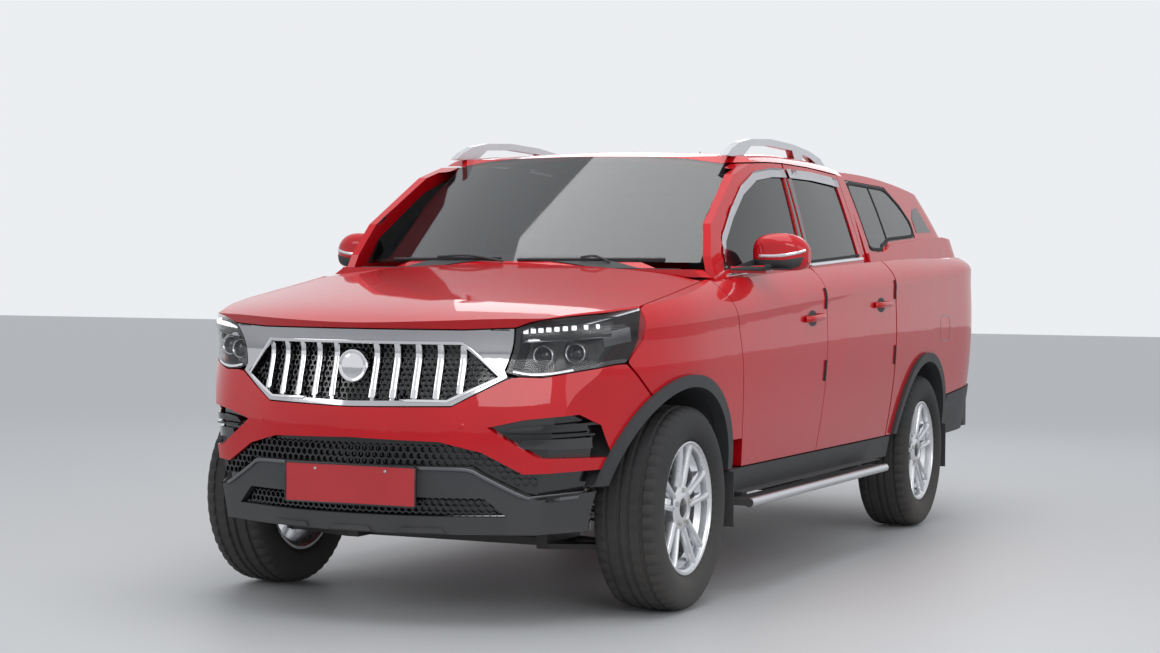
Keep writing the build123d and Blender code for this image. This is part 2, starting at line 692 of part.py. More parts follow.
def headlamp_lens():
    inner = common(lamp_prism(), side_form(LENS_THICKNESS), bonnet_form(LENS_THICKNESS), nose_form(LENS_THICKNESS))
    return less(common(lamp_prism(), front_end()), inner)


def headlamp_housing():
    outer = common(lamp_prism(), side_form(LENS_THICKNESS + SEAT_GAP), bonnet_form(PANEL_THICKNESS + SHUT_GAP),
                   nose_form(LENS_THICKNESS + SEAT_GAP))
    back = common(lamp_prism(), side_form(LAMP_DEPTH), nose_form(LAMP_DEPTH))
    pocket = common(lamp_prism(), front_prism(LAMP_OUTLINE, -2800, -2000, -14))
    floor = common(pocket, side_form(LAMP_POCKET), nose_form(LAMP_POCKET))
    return less(outer, back, less(pocket, floor))


def front_carrier():
    """Posts and cross beams behind the nose that carry the lamps, grille and bumper."""
    backing_rear, lamp_rear = NOSE_SKIN + 8 + SEAT_GAP, LAMP_DEPTH + SEAT_GAP
    beam = less(common(block(-600, 600, -2800, -2300, 545, 600), nose_form(backing_rear)),
                nose_form(backing_rear + 55))
    tie_bar = less(common(block(-700, 700, -2800, -2200, 940, 985), nose_core(lamp_rear)), nose_core(lamp_rear + 35))
    post = block(RAIL_INNER, RAIL_OUTER, -2545, RAIL_FRONT_Y + 5, RAIL_LOW_Z, 600)
    upright = block(380, 420, RAIL_FRONT_Y, RAIL_FRONT_Y + 45, RAIL_LOW_Z, 985)
    return joined(beam, tie_bar, both_sides(joined(post, upright)))


# ---------------------------------------------------------------- load bed and tailgate
BED_FRONT_Y = CAB_LOWER_REAR_Y + CAB_BED_GAP
BODY_REAR_Y = 2600
BED_FLOOR_THICKNESS = 46
TAILGATE_HALF = 735
TAILGATE_THICKNESS = 54
TAILGATE_BOTTOM_Z = 722
BED_FLOOR_REAR_Y = BODY_REAR_Y - TAILGATE_THICKNESS - 18
SKIRT_THICKNESS = 30
BUMPER_STEP_Y = 2575
TAIL_LAMP = [(2455, 1252), (2700, 1252), (2700, 905), (2535, 905), (2490, 1100)]
TAIL_LAMP_DEPTH = 50
TAILGATE_PIN_Y, TAILGATE_PIN_Z, TAILGATE_PIN_RADIUS, TAILGATE_PIN_LENGTH = 2582, 742, 8, 30


def rail_top(y_low, y_high, lift=0):
    """Side outline of everything under the bed's rails."""
    return [(y_low, 100)] + belt_points(y_low, y_high, lift) + [(y_high, 100)]


def tail_lamp_prism():
    return side_prism(TAIL_LAMP, TAILGATE_HALF + SHUT_GAP, 1100)


def bed():
    outer = common(side_form(), side_prism(rail_top(BED_FRONT_Y, BODY_REAR_Y), -1100, 1100))
    low_cut = side_prism([(BED_FRONT_Y - 10, 100), (BED_FRONT_Y - 10, SILL_Z), (1330, SILL_Z), (1700, 640),
                          (1872, 640), (BODY_REAR_Y + 100, 692), (BODY_REAR_Y + 100, 100)], -1100, 1100)
    hollow = block(-BED_INNER_HALF, BED_INNER_HALF, BED_FRONT_Y + BED_WALL, BODY_REAR_Y + 100, BED_FLOOR_Z, 2000)
    under = common(side_form(SKIRT_THICKNESS), block(-1100, 1100, BED_FRONT_Y - 10, BODY_REAR_Y + 100, 100,
                                                     BED_FLOOR_Z - BED_FLOOR_THICKNESS))
    behind_floor = block(-TAILGATE_HALF - SHUT_GAP, TAILGATE_HALF + SHUT_GAP, BED_FLOOR_REAR_Y, BODY_REAR_Y + 100,
                         100, 2000)
    lamp_seat = both_sides(less(tail_lamp_prism(), side_form(TAIL_LAMP_DEPTH + SEAT_GAP)))
    shell = less(outer, low_cut, hollow, under, behind_floor, lamp_seat)
    house = cylinder_across(REAR_AXLE_Y, WHEEL_Z, ARCH_CUT + 20, WHEELHOUSE_HALF, BED_INNER_HALF + 10)
    house = less(house, block(0, 1100, 0, 3000, -500, BED_FLOOR_Z - BED_FLOOR_THICKNESS))
    pin = cylinder_across(TAILGATE_PIN_Y, TAILGATE_PIN_Z, TAILGATE_PIN_RADIUS,
                          TAILGATE_HALF - TAILGATE_PIN_LENGTH + SHUT_GAP, TAILGATE_HALF + 30)
    return less(joined(shell, both_sides(joined(house, pin))), both_sides(arch_cut(REAR_AXLE_Y)))


def tailgate():
    outline = rail_top(BODY_REAR_Y - TAILGATE_THICKNESS, BODY_REAR_Y, -SHUT_GAP)
    panel = common(side_prism(outline, -TAILGATE_HALF, TAILGATE_HALF), side_form(),
                   block(-TAILGATE_HALF, TAILGATE_HALF, 2000, 3000, TAILGATE_BOTTOM_Z, 2000))
    bore = cylinder_across(TAILGATE_PIN_Y, TAILGATE_PIN_Z, TAILGATE_PIN_RADIUS + SPINDLE_CLEARANCE,
                           TAILGATE_HALF - TAILGATE_PIN_LENGTH, 1000)
    return less(panel, both_sides(bore))


def tail_lamp():
    return less(common(tail_lamp_prism(), side_form(), block(0, 1100, 2000, BODY_REAR_Y, 0, 2000)),
                side_form(TAIL_LAMP_DEPTH))


def rear_bumper():
    outline = [(1880, 634), (2300, 664), (2600, 684), (2618, 684), (2618, 440), (1960, 428), (1890, 436)]
    wrap = less(common(side_prism(outline, -1100, 1100), side_form(-8)), side_form(SKIRT_THICKNESS))
    step = plan_prism([(-860, 2500), (-600, BUMPER_STEP_Y), (600, BUMPER_STEP_Y), (860, 2500), (862, 2560), (800, 2640),
                       (640, TAIL_Y - 14), (500, TAIL_Y), (-500, TAIL_Y), (-640, TAIL_Y - 14), (-800, 2640),
                       (-862, 2560)], 440, 655)
    return joined(wrap, step)


# ---------------------------------------------------------------- canopy
CANOPY_FRONT_Y = 668
CANOPY_FRONT_WALL = 34
# Plan levels of the canopy's glasshouse: (z, half width, corner start y, rear y on the centre line).
CANOPY_LEVELS = ((1300, 866, 2190, 2452), (1550, 780, 2005, 2285), (1850, 640, 1760, 2045))
PLINTH_LEVELS = ((1300, 876, 2230, 2588), (1480, 836, 2130, 2525))
PLINTH_TOP = [(CANOPY_FRONT_Y - 40, 1353), (CANOPY_FRONT_Y, 1355), (820, 1362), (985, 1376), (1060, 1404), (1560, 1436), (1700, 1446),
              (2080, 1462), (2360, 1450), (2560, 1392), (2640, 1370)]
CANOPY_ROOF = [(600, 1780), (1250, 1781), (1900, 1738), (2760, 1600)]
CANOPY_CROWN = 42
CANOPY_SQUARENESS = 2 / 3
CANOPY_WINDOW = [(742, 1366), (742, 1706), (1395, 1700), (1560, 1612), (1650, 1530), (1640, 1449), (1110, 1418),
                 (1040, 1394), (985, 1388), (960, 1366)]
HATCH = [(-628, 1478), (628, 1478), (628, 1652), (-628, 1652)]
HATCH_GAP = 7


@lru_cache(maxsize=None)
def canopy_tub(levels, inset=0):
    """A closed plan outline lofted up, round at its rear corners."""
    with BuildPart(mode=Mode.PRIVATE) as form:
        for z, half, corner_y, rear_y in levels:
            w = half - inset
            front = CANOPY_FRONT_Y - 200
            reach = rear_y - corner_y
            rear = [(w * cos(radians(a)) ** CANOPY_SQUARENESS,
                     corner_y - inset + reach * sin(radians(a)) ** CANOPY_SQUARENESS) for a in (0, 18, 36, 54, 72, 90)]
            rear += [(-x, y) for x, y in reversed(rear[:-1])]
            with BuildSketch(Plane.XY.offset(z)):
                with BuildLine():
                    Line((-w, front), (w, front))
                    Line((w, front), rear[0])
                    Spline(*rear, tangents=((0, 1), (0, -1)))
                    Line(rear[-1], (-w, front))
                make_face()
        loft()
    return form.part


def canopy_roof(drop=0):
    """Everything under the canopy's crowned roof."""
    with BuildPart(mode=Mode.PRIVATE) as form:
        for y, top in CANOPY_ROOF:
            crown = [(x, top - drop - CANOPY_CROWN * abs(x / 690) ** 2.6)
                     for x in (900, 690, 400, 0, -400, -690, -900)]
            with BuildSketch(cross_plane(y)):
                with BuildLine():
                    Line((-900, 1200), (900, 1200))
                    Line((900, 1200), crown[0])
                    Spline(*crown)
                    Line(crown[-1], (-900, 1200))
                make_face()
        loft()
    return form.part


def plinth(inset=0):
    outline = [(CANOPY_FRONT_Y - 40, 1200)] + PLINTH_TOP + [(2640, 1200)]
    return common(canopy_tub(PLINTH_LEVELS, inset), side_prism([(y, z - inset) for y, z in outline], -1100, 1100))


def canopy():
    ahead = block(-1100, 1100, CANOPY_FRONT_Y, 3000, 1000, 2000)
    outer = joined(common(canopy_tub(CANOPY_LEVELS), canopy_roof()), plinth())
    inner = joined(common(canopy_tub(CANOPY_LEVELS, CANOPY_WALL), canopy_roof(CANOPY_WALL)), plinth(CANOPY_WALL))
    space = block(-1100, 1100, CANOPY_FRONT_Y + CANOPY_FRONT_WALL, 3000, 1000, 2000)
    above_rails = [(CANOPY_FRONT_Y, 2000)] + belt_points(CANOPY_FRONT_Y, 2610, CANOPY_GAP) + [(2610, 2000)]
    shell = common(less(outer, common(inner, space)), ahead, side_prism(above_rails, -1100, 1100))
    hole = both_sides(side_prism(CANOPY_WINDOW, 500, 1100, -16))
    rebate = less(both_sides(side_prism(CANOPY_WINDOW, 500, 1100)), canopy_tub(CANOPY_LEVELS, 8.3))
    opened = less(shell, hole, rebate, front_prism(HATCH, 1800, 2700, HATCH_GAP))
    hinge = less(common(block(370, 430, 1900, 2300, HATCH[2][1] + SEAT_GAP, HATCH[2][1] + 30),
                        canopy_tub(CANOPY_LEVELS, 1), canopy_roof(1)), canopy_tub(CANOPY_LEVELS, 14))
    return joined(opened, both_sides(hinge))


def canopy_side_window():
    return less(common(side_prism(CANOPY_WINDOW, 500, 1100, -0.5), canopy_tub(CANOPY_LEVELS, 3)),
                canopy_tub(CANOPY_LEVELS, 8))


def canopy_hatch():
    return less(common(front_prism(HATCH, 1800, 2700), canopy_tub(CANOPY_LEVELS), canopy_roof()),
                canopy_tub(CANOPY_LEVELS, CANOPY_WALL))


# ---------------------------------------------------------------- trim on the outside
def arch_flare(axle_y):
    band = cylinder_across(axle_y, WHEEL_Z, ARCH_OUTER_RADIUS, 700, 1100, ARCH_INNER_RADIUS)
    outer = less(common(band, side_form(-FLARE_PROUD)), side_form(-SEAT_GAP))
    lip = less(common(cylinder_across(axle_y, WHEEL_Z, ARCH_CUT - SEAT_GAP, 700, 1100, ARCH_INNER_RADIUS),
                      side_form(-FLARE_PROUD)), side_form(34))
    return less(joined(outer, lip), block(0, 1100, -3000, 3000, -200, SILL_Z + 2))


def sill_cladding():
    outline = [(-1329, SILL_BOTTOM_Z), (890, SILL_BOTTOM_Z), (890, SILL_Z - 6), (-1329, SILL_Z - 6)]
    return less(common(side_prism(outline, 500, 1100), side_form(-6)), side_form(22 - SEAT_GAP))


def wheel_liner(axle_y):
    ring = cylinder_across(axle_y, WHEEL_Z, ARCH_CUT - SEAT_GAP, WHEELHOUSE_HALF + 16, 1100,
                           ARCH_CUT - SEAT_GAP - LINER_THICKNESS)
    return common(less(ring, block(0, 1100, -3000, 3000, -200, SILL_Z + 2)), side_form(34 + SEAT_GAP))


def mud_flap(y_low, z_top):
    return block(742, 928, y_low, y_low + 6, 262, z_top)


def roof_rail():
    outline = [(-705, 1742), (-640, 1775), (-540, 1808), (-400, 1830), (-150, 1845), (150, 1841), (400, 1823),
               (560, 1798), (632, 1768), (632, 1752)]
    openings = [[(-500, 1752), (-400, 1800), (-150, 1815), (150, 1812), (205, 1752)],
                [(300, 1752), (300, 1802), (400, 1793), (520, 1768), (530, 1752)]]
    bar = side_prism(outline, 618, 650)
    for opening in openings:
        bar = less(bar, side_prism(opening, 600, 700))
    return less(bar, cab_form(-SEAT_GAP))


STEP_FRONT_Y, STEP_REAR_Y, STEP_TOP_Z = -1320, 560, 370
STEP_ARMS = (-1150, -400, 420)


def side_step():
    board = block(905, 985, STEP_FRONT_Y, STEP_REAR_Y, STEP_TOP_Z - 25, STEP_TOP_Z)
    tube = cylinder_along(985, STEP_TOP_Z - 13, 17, STEP_FRONT_Y, STEP_REAR_Y)
    arms = [block(790, 906, y - 30, y + 30, STEP_TOP_Z - 22, SILL_BOTTOM_Z - SEAT_GAP) for y in STEP_ARMS]
    feet = [block(790, 858, y - 30, y + 30, STEP_TOP_Z - 22, SILL_BOTTOM_Z + 12) for y in STEP_ARMS]
    return joined(board, tube, *arms, *feet)


def cylinder_along(x, z, radius, y_low, y_high):
    """A cylinder whose axis runs along the truck."""
    with BuildPart(mode=Mode.PRIVATE) as rod:
        with BuildSketch(cross_plane(y_high)):
            with Locations((x, z)):
                Circle(radius)
        extrude(amount=y_high - y_low)
    return rod.part


# ---------------------------------------------------------------- chassis, axles and engine
RAIL_INNER, RAIL_OUTER, RAIL_LOW_Z = 365, 435, 430
RAIL_HIGH_Z = FLOOR_Z - FLOOR_THICKNESS - SEAT_GAP
RAIL_REAR_LOW_Z, RAIL_FRONT_Y = 560, -2440
TOW_EYE_RADIUS, TOW_EYE_Y = 14, -2412
CROSS_MEMBERS = (-1900, -900, 100, 800)
REAR_CROSS_MEMBERS = (1080, 1780, 2480)
UPRIGHT_TOP_Z, UPRIGHT_LOW_Z, BALL_RADIUS, EYE_RADIUS, EYE_HEIGHT = 540, 240, 14, 30, 20
SPINDLE_END_X = WHEEL_X + 58
AXLE_RADIUS, DIFF_RADIUS = 42, 150


def chassis_frame():
    rear_y, under_bed = BUMPER_STEP_Y - SEAT_GAP, BED_FLOOR_Z - BED_FLOOR_THICKNESS - SEAT_GAP
    rail = side_prism([(RAIL_FRONT_Y, RAIL_LOW_Z), (860, RAIL_LOW_Z), (1010, RAIL_REAR_LOW_Z),
                       (rear_y, RAIL_REAR_LOW_Z), (rear_y, under_bed), (985, under_bed), (835, RAIL_HIGH_Z),
                       (RAIL_FRONT_Y, RAIL_HIGH_Z)], RAIL_INNER, RAIL_OUTER)
    low = [block(-RAIL_INNER - 5, RAIL_INNER + 5, y - 35, y + 35, RAIL_LOW_Z, RAIL_LOW_Z + 40)
           for y in CROSS_MEMBERS]
    high = [block(-RAIL_INNER - 5, RAIL_INNER + 5, y - 35, y + 35, RAIL_REAR_LOW_Z + 20, RAIL_REAR_LOW_Z + 60)
            for y in REAR_CROSS_MEMBERS]
    eye = cylinder_across(TOW_EYE_Y, (RAIL_LOW_Z + RAIL_HIGH_Z) / 2, TOW_EYE_RADIUS, RAIL_INNER - 5, RAIL_OUTER + 5)
    return less(joined(both_sides(rail), front_carrier(), *low, *high), both_sides(eye))


def knuckle():
    """Left steering knuckle with its spindle and ball pins."""
    upright = block(KINGPIN_X - 22, KINGPIN_X + 16, FRONT_AXLE_Y - 36, FRONT_AXLE_Y + 36, UPRIGHT_LOW_Z,
                    UPRIGHT_TOP_Z)
    spindle = cylinder_across(FRONT_AXLE_Y, WHEEL_Z, SPINDLE_RADIUS, KINGPIN_X, SPINDLE_END_X)
    with BuildPart(mode=Mode.PRIVATE) as pins:
        with BuildSketch(Plane.XY.offset(UPRIGHT_LOW_Z - 32)):
            with Locations((KINGPIN_X, FRONT_AXLE_Y)):
                Circle(BALL_RADIUS)
        extrude(amount=UPRIGHT_TOP_Z - UPRIGHT_LOW_Z + 58)
    arm = block(KINGPIN_X - 60, KINGPIN_X - 10, FRONT_AXLE_Y + 20, FRONT_AXLE_Y + 130, 300, 322)
    return joined(upright, spindle, pins.part, arm)


def control_arm(z):
    """A lateral arm whose eye turns round the kingpin."""
    with BuildPart(mode=Mode.PRIVATE) as arm:
        with BuildSketch(Plane.XY.offset(z)):
            with Locations((KINGPIN_X, FRONT_AXLE_Y)):
                Circle(EYE_RADIUS)
            with BuildLine():
                Polyline((KINGPIN_X, FRONT_AXLE_Y - 24), (KINGPIN_X, FRONT_AXLE_Y + 24),
                         (430, FRONT_AXLE_Y + 150), (400, FRONT_AXLE_Y + 150), (400, FRONT_AXLE_Y - 150),
                         (430, FRONT_AXLE_Y - 150), close=True)
            make_face()
            with Locations((KINGPIN_X, FRONT_AXLE_Y)):
                Circle(BALL_RADIUS + SPINDLE_CLEARANCE, mode=Mode.SUBTRACT)
            with Locations((520, FRONT_AXLE_Y)):
                Circle(45, mode=Mode.SUBTRACT)
        extrude(amount=EYE_HEIGHT)
    return arm.part


def front_suspension():
    low_z = UPRIGHT_LOW_Z - SHUT_GAP - EYE_HEIGHT
    high_z = UPRIGHT_TOP_Z + SHUT_GAP - 1
    low = joined(control_arm(low_z), block(380, 425, FRONT_AXLE_Y - 150, FRONT_AXLE_Y + 150, low_z, RAIL_LOW_Z))
    high = joined(control_arm(high_z), block(380, 425, FRONT_AXLE_Y - 150, FRONT_AXLE_Y + 150, RAIL_HIGH_Z,
                                             high_z + EYE_HEIGHT))
    return joined(both_sides(low), both_sides(high),
                  block(-400, 400, FRONT_AXLE_Y - 60, FRONT_AXLE_Y + 60, low_z, low_z + 30))


def rear_axle():
    """Live axle turned in one piece, with its leaf springs."""
    half = [(SPINDLE_END_X, SPINDLE_RADIUS), (KINGPIN_X, SPINDLE_RADIUS), (KINGPIN_X, AXLE_RADIUS), (110, AXLE_RADIUS),
            (90, 0.74 * DIFF_RADIUS), (40, DIFF_RADIUS)]
    beam = turned([(SPINDLE_END_X, 0)] + half + [(-x, r) for x, r in reversed(half)] + [(-SPINDLE_END_X, 0)],
                  REAR_AXLE_Y, 0)
    top, mid = RAIL_REAR_LOW_Z - SEAT_GAP, WHEEL_Z + AXLE_RADIUS - 5
    half = [(60, mid + 30), (280, mid + 75), (340, top), (380, top), (290, mid + 45), (80, mid)]
    leaf = [(REAR_AXLE_Y + y, z) for y, z in half] + [(REAR_AXLE_Y - y, z) for y, z in reversed(half)]
    return joined(beam, both_sides(side_prism(leaf, RAIL_INNER + 5, RAIL_OUTER - 5)))


def engine():
    """Engine, gearbox and propeller shaft in one plain piece."""
    motor = block(-270, 270, -2290, -1560, RAIL_LOW_Z + 40, 1010)
    gearbox = block(-120, 120, -1600, -700, 375, RAIL_LOW_Z - 0.3)
    neck = block(-120, 120, -1600, -1560, 375, RAIL_LOW_Z + 60)
    return joined(motor, gearbox, neck, cylinder_along(0, WHEEL_Z + 12, 34, -720,
                                                REAR_AXLE_Y - DIFF_RADIUS - SEAT_GAP))


def fuel_tank():
    return block(RAIL_OUTER + SEAT_GAP, 705, 150, 900, 262, 488)


def exhaust():
    pipe = [(-250, -1600, RAIL_LOW_Z + 40 - SEAT_GAP), (-250, -1600, 395), (-250, 1120, 395), (-250, 1250, 470), (-250, 1560, 470), (-250, 1700, 395),
            (-250, 2490, 395)]
    with BuildPart(mode=Mode.PRIVATE) as run:
        with BuildLine() as path:
            FilletPolyline(*pipe, radius=38)
        with BuildSketch(Plane(origin=pipe[0], z_dir=(0, 0, -1))):
            Circle(27)
        sweep(path=path.line)
    return joined(run.part, block(-320, -180, 350, 900, 330, 428))


# ---------------------------------------------------------------- wheels
def wheel_axis(axle_y):
    return Axis((WHEEL_X, axle_y, WHEEL_Z), (1, 0, 0))


def turned(profile, axle_y, centre_x=WHEEL_X):
    """A closed profile of (distance from a centre plane, radius) turned round the axle."""
    with BuildPart(mode=Mode.PRIVATE) as ring:
        with BuildSketch(cross_plane(axle_y)):
            with BuildLine():
                Polyline(*[(centre_x + across, WHEEL_Z + radius) for across, radius in profile], close=True)
            make_face()
        revolve(axis=wheel_axis(axle_y))
    return ring.part


def tyre(axle_y):
    half = TYRE_WIDTH / 2
    seat, bead = 95, 231
    outer = [(seat - 0.3, bead + 0.3), (seat - 0.3, RIM_RADIUS + 4), (half - 12, 268), (half - 2, 290),
             (half, 312), (half - 4, 336), (half - 13, 360), (half - 24, 372), (half - 42, TYRE_RADIUS)]
    inner = [(seat - 17, bead + 0.3), (seat - 14, 258), (half - 14, 290), (half - 12, 315), (half - 22, 345),
             (half - 50, 358)]
    profile = outer + [(-a, r) for a, r in reversed(outer)] + [(-a, r) for a, r in inner] \
        + [(a, r) for a, r in reversed(inner)]
    body = turned(profile, axle_y)
    pitch = 2 * (half - 42) / TREAD_GROOVES
    for k in range(TREAD_GROOVES):
        centre = (k + 0.5 - TREAD_GROOVES / 2) * pitch
        groove = [(centre - GROOVE_WIDTH / 2, TYRE_RADIUS - TREAD_DEPTH), (centre + GROOVE_WIDTH / 2,
                  TYRE_RADIUS - TREAD_DEPTH), (centre + GROOVE_WIDTH / 2, TYRE_RADIUS + 5),
                  (centre - GROOVE_WIDTH / 2, TYRE_RADIUS + 5)]
        body = less(body, turned(groove, axle_y))
    return body


def rim(axle_y):
    flange, seat = RIM_WIDTH / 2, 95
    outer = [(flange, RIM_RADIUS), (seat, RIM_RADIUS), (seat, 231), (70, 229), (52, 208)]
    inner = [(flange, RIM_RADIUS - RIM_WALL), (seat, 222), (70, 220), (52, 199)]
    barrel = turned(outer + [(-a, r) for a, r in reversed(outer)] + [(-a, r) for a, r in inner]
                    + [(a, r) for a, r in reversed(inner)], axle_y)
    dish = turned([(28, HUB_RECESS), (28, HUB_RADIUS), (50, 150), (58, 226), (99, 226), (93, 150),
                   (82, HUB_RADIUS), (79, HUB_RECESS)], axle_y)
    root, tip = SPOKE_INNER_GAP / 2, SPOKE_OUTER_GAP / 2
    with BuildPart(mode=Mode.PRIVATE) as star:
        with BuildSketch(lengthwise_plane(WHEEL_X)):
            with Locations((axle_y, WHEEL_Z)):
                Circle(HUB_RADIUS + 5)
                Circle(HUB_RECESS - 2, mode=Mode.SUBTRACT)
            for turn in range(SPOKES):
                angle = radians(90 + turn * 360 / SPOKES)
                for side in (1, -1):
                    leg = [(60, side * root), (232, side * tip), (232, side * (tip + SPOKE_LEG_WIDTH)),
                           (60, side * (root + SPOKE_LEG_WIDTH))]
                    with BuildLine():
                        Polyline(*[(axle_y + a * cos(angle) - b * sin(angle),
                                    WHEEL_Z + a * sin(angle) + b * cos(angle)) for a, b in leg], close=True)
                    make_face()
                with Locations((axle_y + LUG_PCD / 2 * cos(angle), WHEEL_Z + LUG_PCD / 2 * sin(angle))):
                    Circle(LUG_HOLE_RADIUS, mode=Mode.SUBTRACT)
        extrude(amount=120)
    bore_radius, bore_end = SPINDLE_RADIUS + SPINDLE_CLEARANCE, 63
    hub = turned([(-40, bore_radius), (-40, 62), (-38, 62), (-38, DISC_RADIUS), (-12, DISC_RADIUS), (-12, 62), (34, 62), (34, 38),
                  (84, 37), (86, 0), (bore_end, 0), (bore_end, bore_radius)], axle_y)
    return joined(barrel, common(dish, star.part), hub)


# ---------------------------------------------------------------- inside the cab
def seat_shape(x_low, x_high, y_front, y_rear, z_low, back_top, lean):
    outline = [(y_front, z_low), (y_front - 10, z_low + 150), (y_rear - 120, z_low + 175),
               (y_rear - 60 + lean, back_top), (y_rear + 50 + lean, back_top), (y_rear + 60, z_low + 150),
               (y_rear + 20, z_low)]
    return side_prism(outline, x_low, x_high)


def front_seat():
    seat = seat_shape(150, 670, -760, -290, FLOOR_Z + 90, 1235, 70)
    head = block(300, 520, -255, -170, 1220, 1420)
    base = block(200, 620, -720, -330, FLOOR_Z + SEAT_GAP, FLOOR_Z + 91)
    return joined(seat, head, base)


def rear_seat():
    seat = seat_shape(-690, 690, 90, 560, FLOOR_Z + 90, 1215, 60)
    base = block(-640, 640, 130, 540, FLOOR_Z + SEAT_GAP, FLOOR_Z + 91)
    return joined(seat, base)


DASH_OUTLINE = [(-1435, 1000), (-1435, 1205), (-1290, 1222), (-1130, 1215), (-1000, 1150), (-1010, 1010),
                (-1100, 890), (-1300, 860)]


def dashboard():
    console = block(-130, 130, -1120, -280, FLOOR_Z + SEAT_GAP, 800)
    return joined(side_prism(DASH_OUTLINE, -672, 672), console, block(-130, 130, -1290, -1000, 700, 960))


def steering_wheel():
    centre = (395, -895, 1085)
    tilt = Plane(origin=centre, x_dir=(1, 0, 0), z_dir=(0, 0.90, 0.43))
    with BuildPart(mode=Mode.PRIVATE) as wheel:
        with BuildSketch(Plane(origin=centre, x_dir=tilt.x_dir, z_dir=tilt.y_dir)):
            with Locations((185, 0)):
                Circle(14)
        revolve(axis=Axis(centre, tuple(tilt.z_dir)))
        with BuildSketch(tilt):
            Circle(62)
            Rectangle(370, 34)
        extrude(amount=-26)
        with BuildSketch(tilt):
            Circle(30)
        extrude(amount=-150)
    return less(wheel.part, side_prism(DASH_OUTLINE, -700, 700, SEAT_GAP))


def plate_recess():
    """Room for the number plate in the nose."""
    return block(-262, 262, -2800, PLATE_REAR_Y + SEAT_GAP, PLATE_Z - 69 - 2, PLATE_Z + 69 + 2)


def plate():
    """Blank number plate on its curved bracket."""
    sheet = block(-260, 260, PLATE_REAR_Y - 6, PLATE_REAR_Y, PLATE_Z - 69, PLATE_Z + 69)
    bracket = less(block(-240, 240, PLATE_REAR_Y - 1, -2600, PLATE_Z - 55, PLATE_Z + 55), nose_form(-SEAT_GAP))
    return joined(sheet, bracket)


PAIRED = {
    "front_door": front_door,
    "rear_door": rear_door,
    "front_door_glass": lambda: make_glass(FRONT_GLASS),
    "rear_door_glass": lambda: make_glass(REAR_GLASS),
    "mirror": mirror_housing,
    "fender": fender,
    "knuckle": knuckle,
    "front_rim": lambda: rim(FRONT_AXLE_Y),
    "rear_rim": lambda: rim(REAR_AXLE_Y),
    "front_tyre": lambda: tyre(FRONT_AXLE_Y),
    "rear_tyre": lambda: tyre(REAR_AXLE_Y),
}
TWINNED = {
    "headlamp_lenses": headlamp_lens,
    "headlamp_housings": headlamp_housing,
    "tail_lamps": tail_lamp,
    "canopy_side_windows": canopy_side_window,
    "side_steps": side_step,
    "roof_rails": roof_rail,
    "front_seats": front_seat,
    "arch_flares": lambda: joined(arch_flare(FRONT_AXLE_Y), arch_flare(REAR_AXLE_Y), sill_cladding()),
    "wheel_liners": lambda: joined(wheel_liner(FRONT_AXLE_Y), wheel_liner(REAR_AXLE_Y)),
    "mud_flaps": lambda: joined(mud_flap(-1330 - 6.3, SILL_Z - 10), mud_flap(1880 - 6.3, 486)),
}
SINGLE = {
    "cab_body": cab_body,
    "windscreen": windscreen,
    "cab_rear_window": cab_rear_window,
    "bonnet": bonnet,
    "grille": grille,
    "front_bumper": front_bumper,
    "bumper_guard": bumper_guard,
    "nose_backing": nose_backing,
    "bed": bed,
    "tailgate": tailgate,
    "rear_bumper": rear_bumper,
    "canopy": canopy,
    "canopy_hatch": canopy_hatch,
    "chassis_frame": chassis_frame,
    "front_suspension": front_suspension,
    "rear_axle": rear_axle,
    "engine": engine,
    "fuel_tank": fuel_tank,
    "exhaust": exhaust,
    "rear_seat": rear_seat,
    "dashboard": dashboard,
    "steering_wheel": steering_wheel,
    "plate": plate,
}


def write_all():
    """Makes every piece and writes one file each."""
    os.makedirs("parts", exist_ok=True)
    for name, make in SINGLE.items():
        save(make(), name)
    for name, make in TWINNED.items():
        save(both_sides(make()), name)
    for name, make in PAIRED.items():
        piece = make()
        save(piece, f"{name}_left")
        save(mirror(piece, about=Plane.YZ), f"{name}_right")


if __name__ == "__main__":
    write_all()
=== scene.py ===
"""Finishes, trim and small parts of a double-cab pickup truck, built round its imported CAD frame.

Everything is in metres in the frame's own axes: -Y is forward, +X the truck's left side and +Z up.
Pieces are laid on the CAD surfaces by casting rays at them, so they follow the panels they belong to.
"""
import bmesh
import bpy
import json
import logging
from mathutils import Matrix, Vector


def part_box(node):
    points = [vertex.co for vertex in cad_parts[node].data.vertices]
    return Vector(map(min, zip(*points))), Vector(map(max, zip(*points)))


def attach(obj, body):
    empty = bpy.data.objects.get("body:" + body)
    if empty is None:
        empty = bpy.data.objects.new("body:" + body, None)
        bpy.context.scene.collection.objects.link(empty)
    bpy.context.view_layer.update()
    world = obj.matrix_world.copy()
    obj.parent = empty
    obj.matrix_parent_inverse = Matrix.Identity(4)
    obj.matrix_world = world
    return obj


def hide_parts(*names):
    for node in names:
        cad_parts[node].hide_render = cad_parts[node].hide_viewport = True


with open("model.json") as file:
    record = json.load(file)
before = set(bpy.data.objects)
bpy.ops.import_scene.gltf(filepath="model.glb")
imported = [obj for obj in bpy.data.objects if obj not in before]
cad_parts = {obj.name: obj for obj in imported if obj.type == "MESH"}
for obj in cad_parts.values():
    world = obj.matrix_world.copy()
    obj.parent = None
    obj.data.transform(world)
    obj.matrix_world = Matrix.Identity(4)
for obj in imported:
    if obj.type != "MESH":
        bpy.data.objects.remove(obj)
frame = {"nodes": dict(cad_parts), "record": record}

from copy import copy
from collections.abc import Callable, Sequence
from dataclasses import dataclass
from enum import Enum
from math import cos, hypot, pi, radians, sin
from mathutils import Matrix, Vector
from mathutils.bvhtree import BVHTree
from mathutils.geometry import interpolate_bezier

LOG = logging.getLogger("truck")

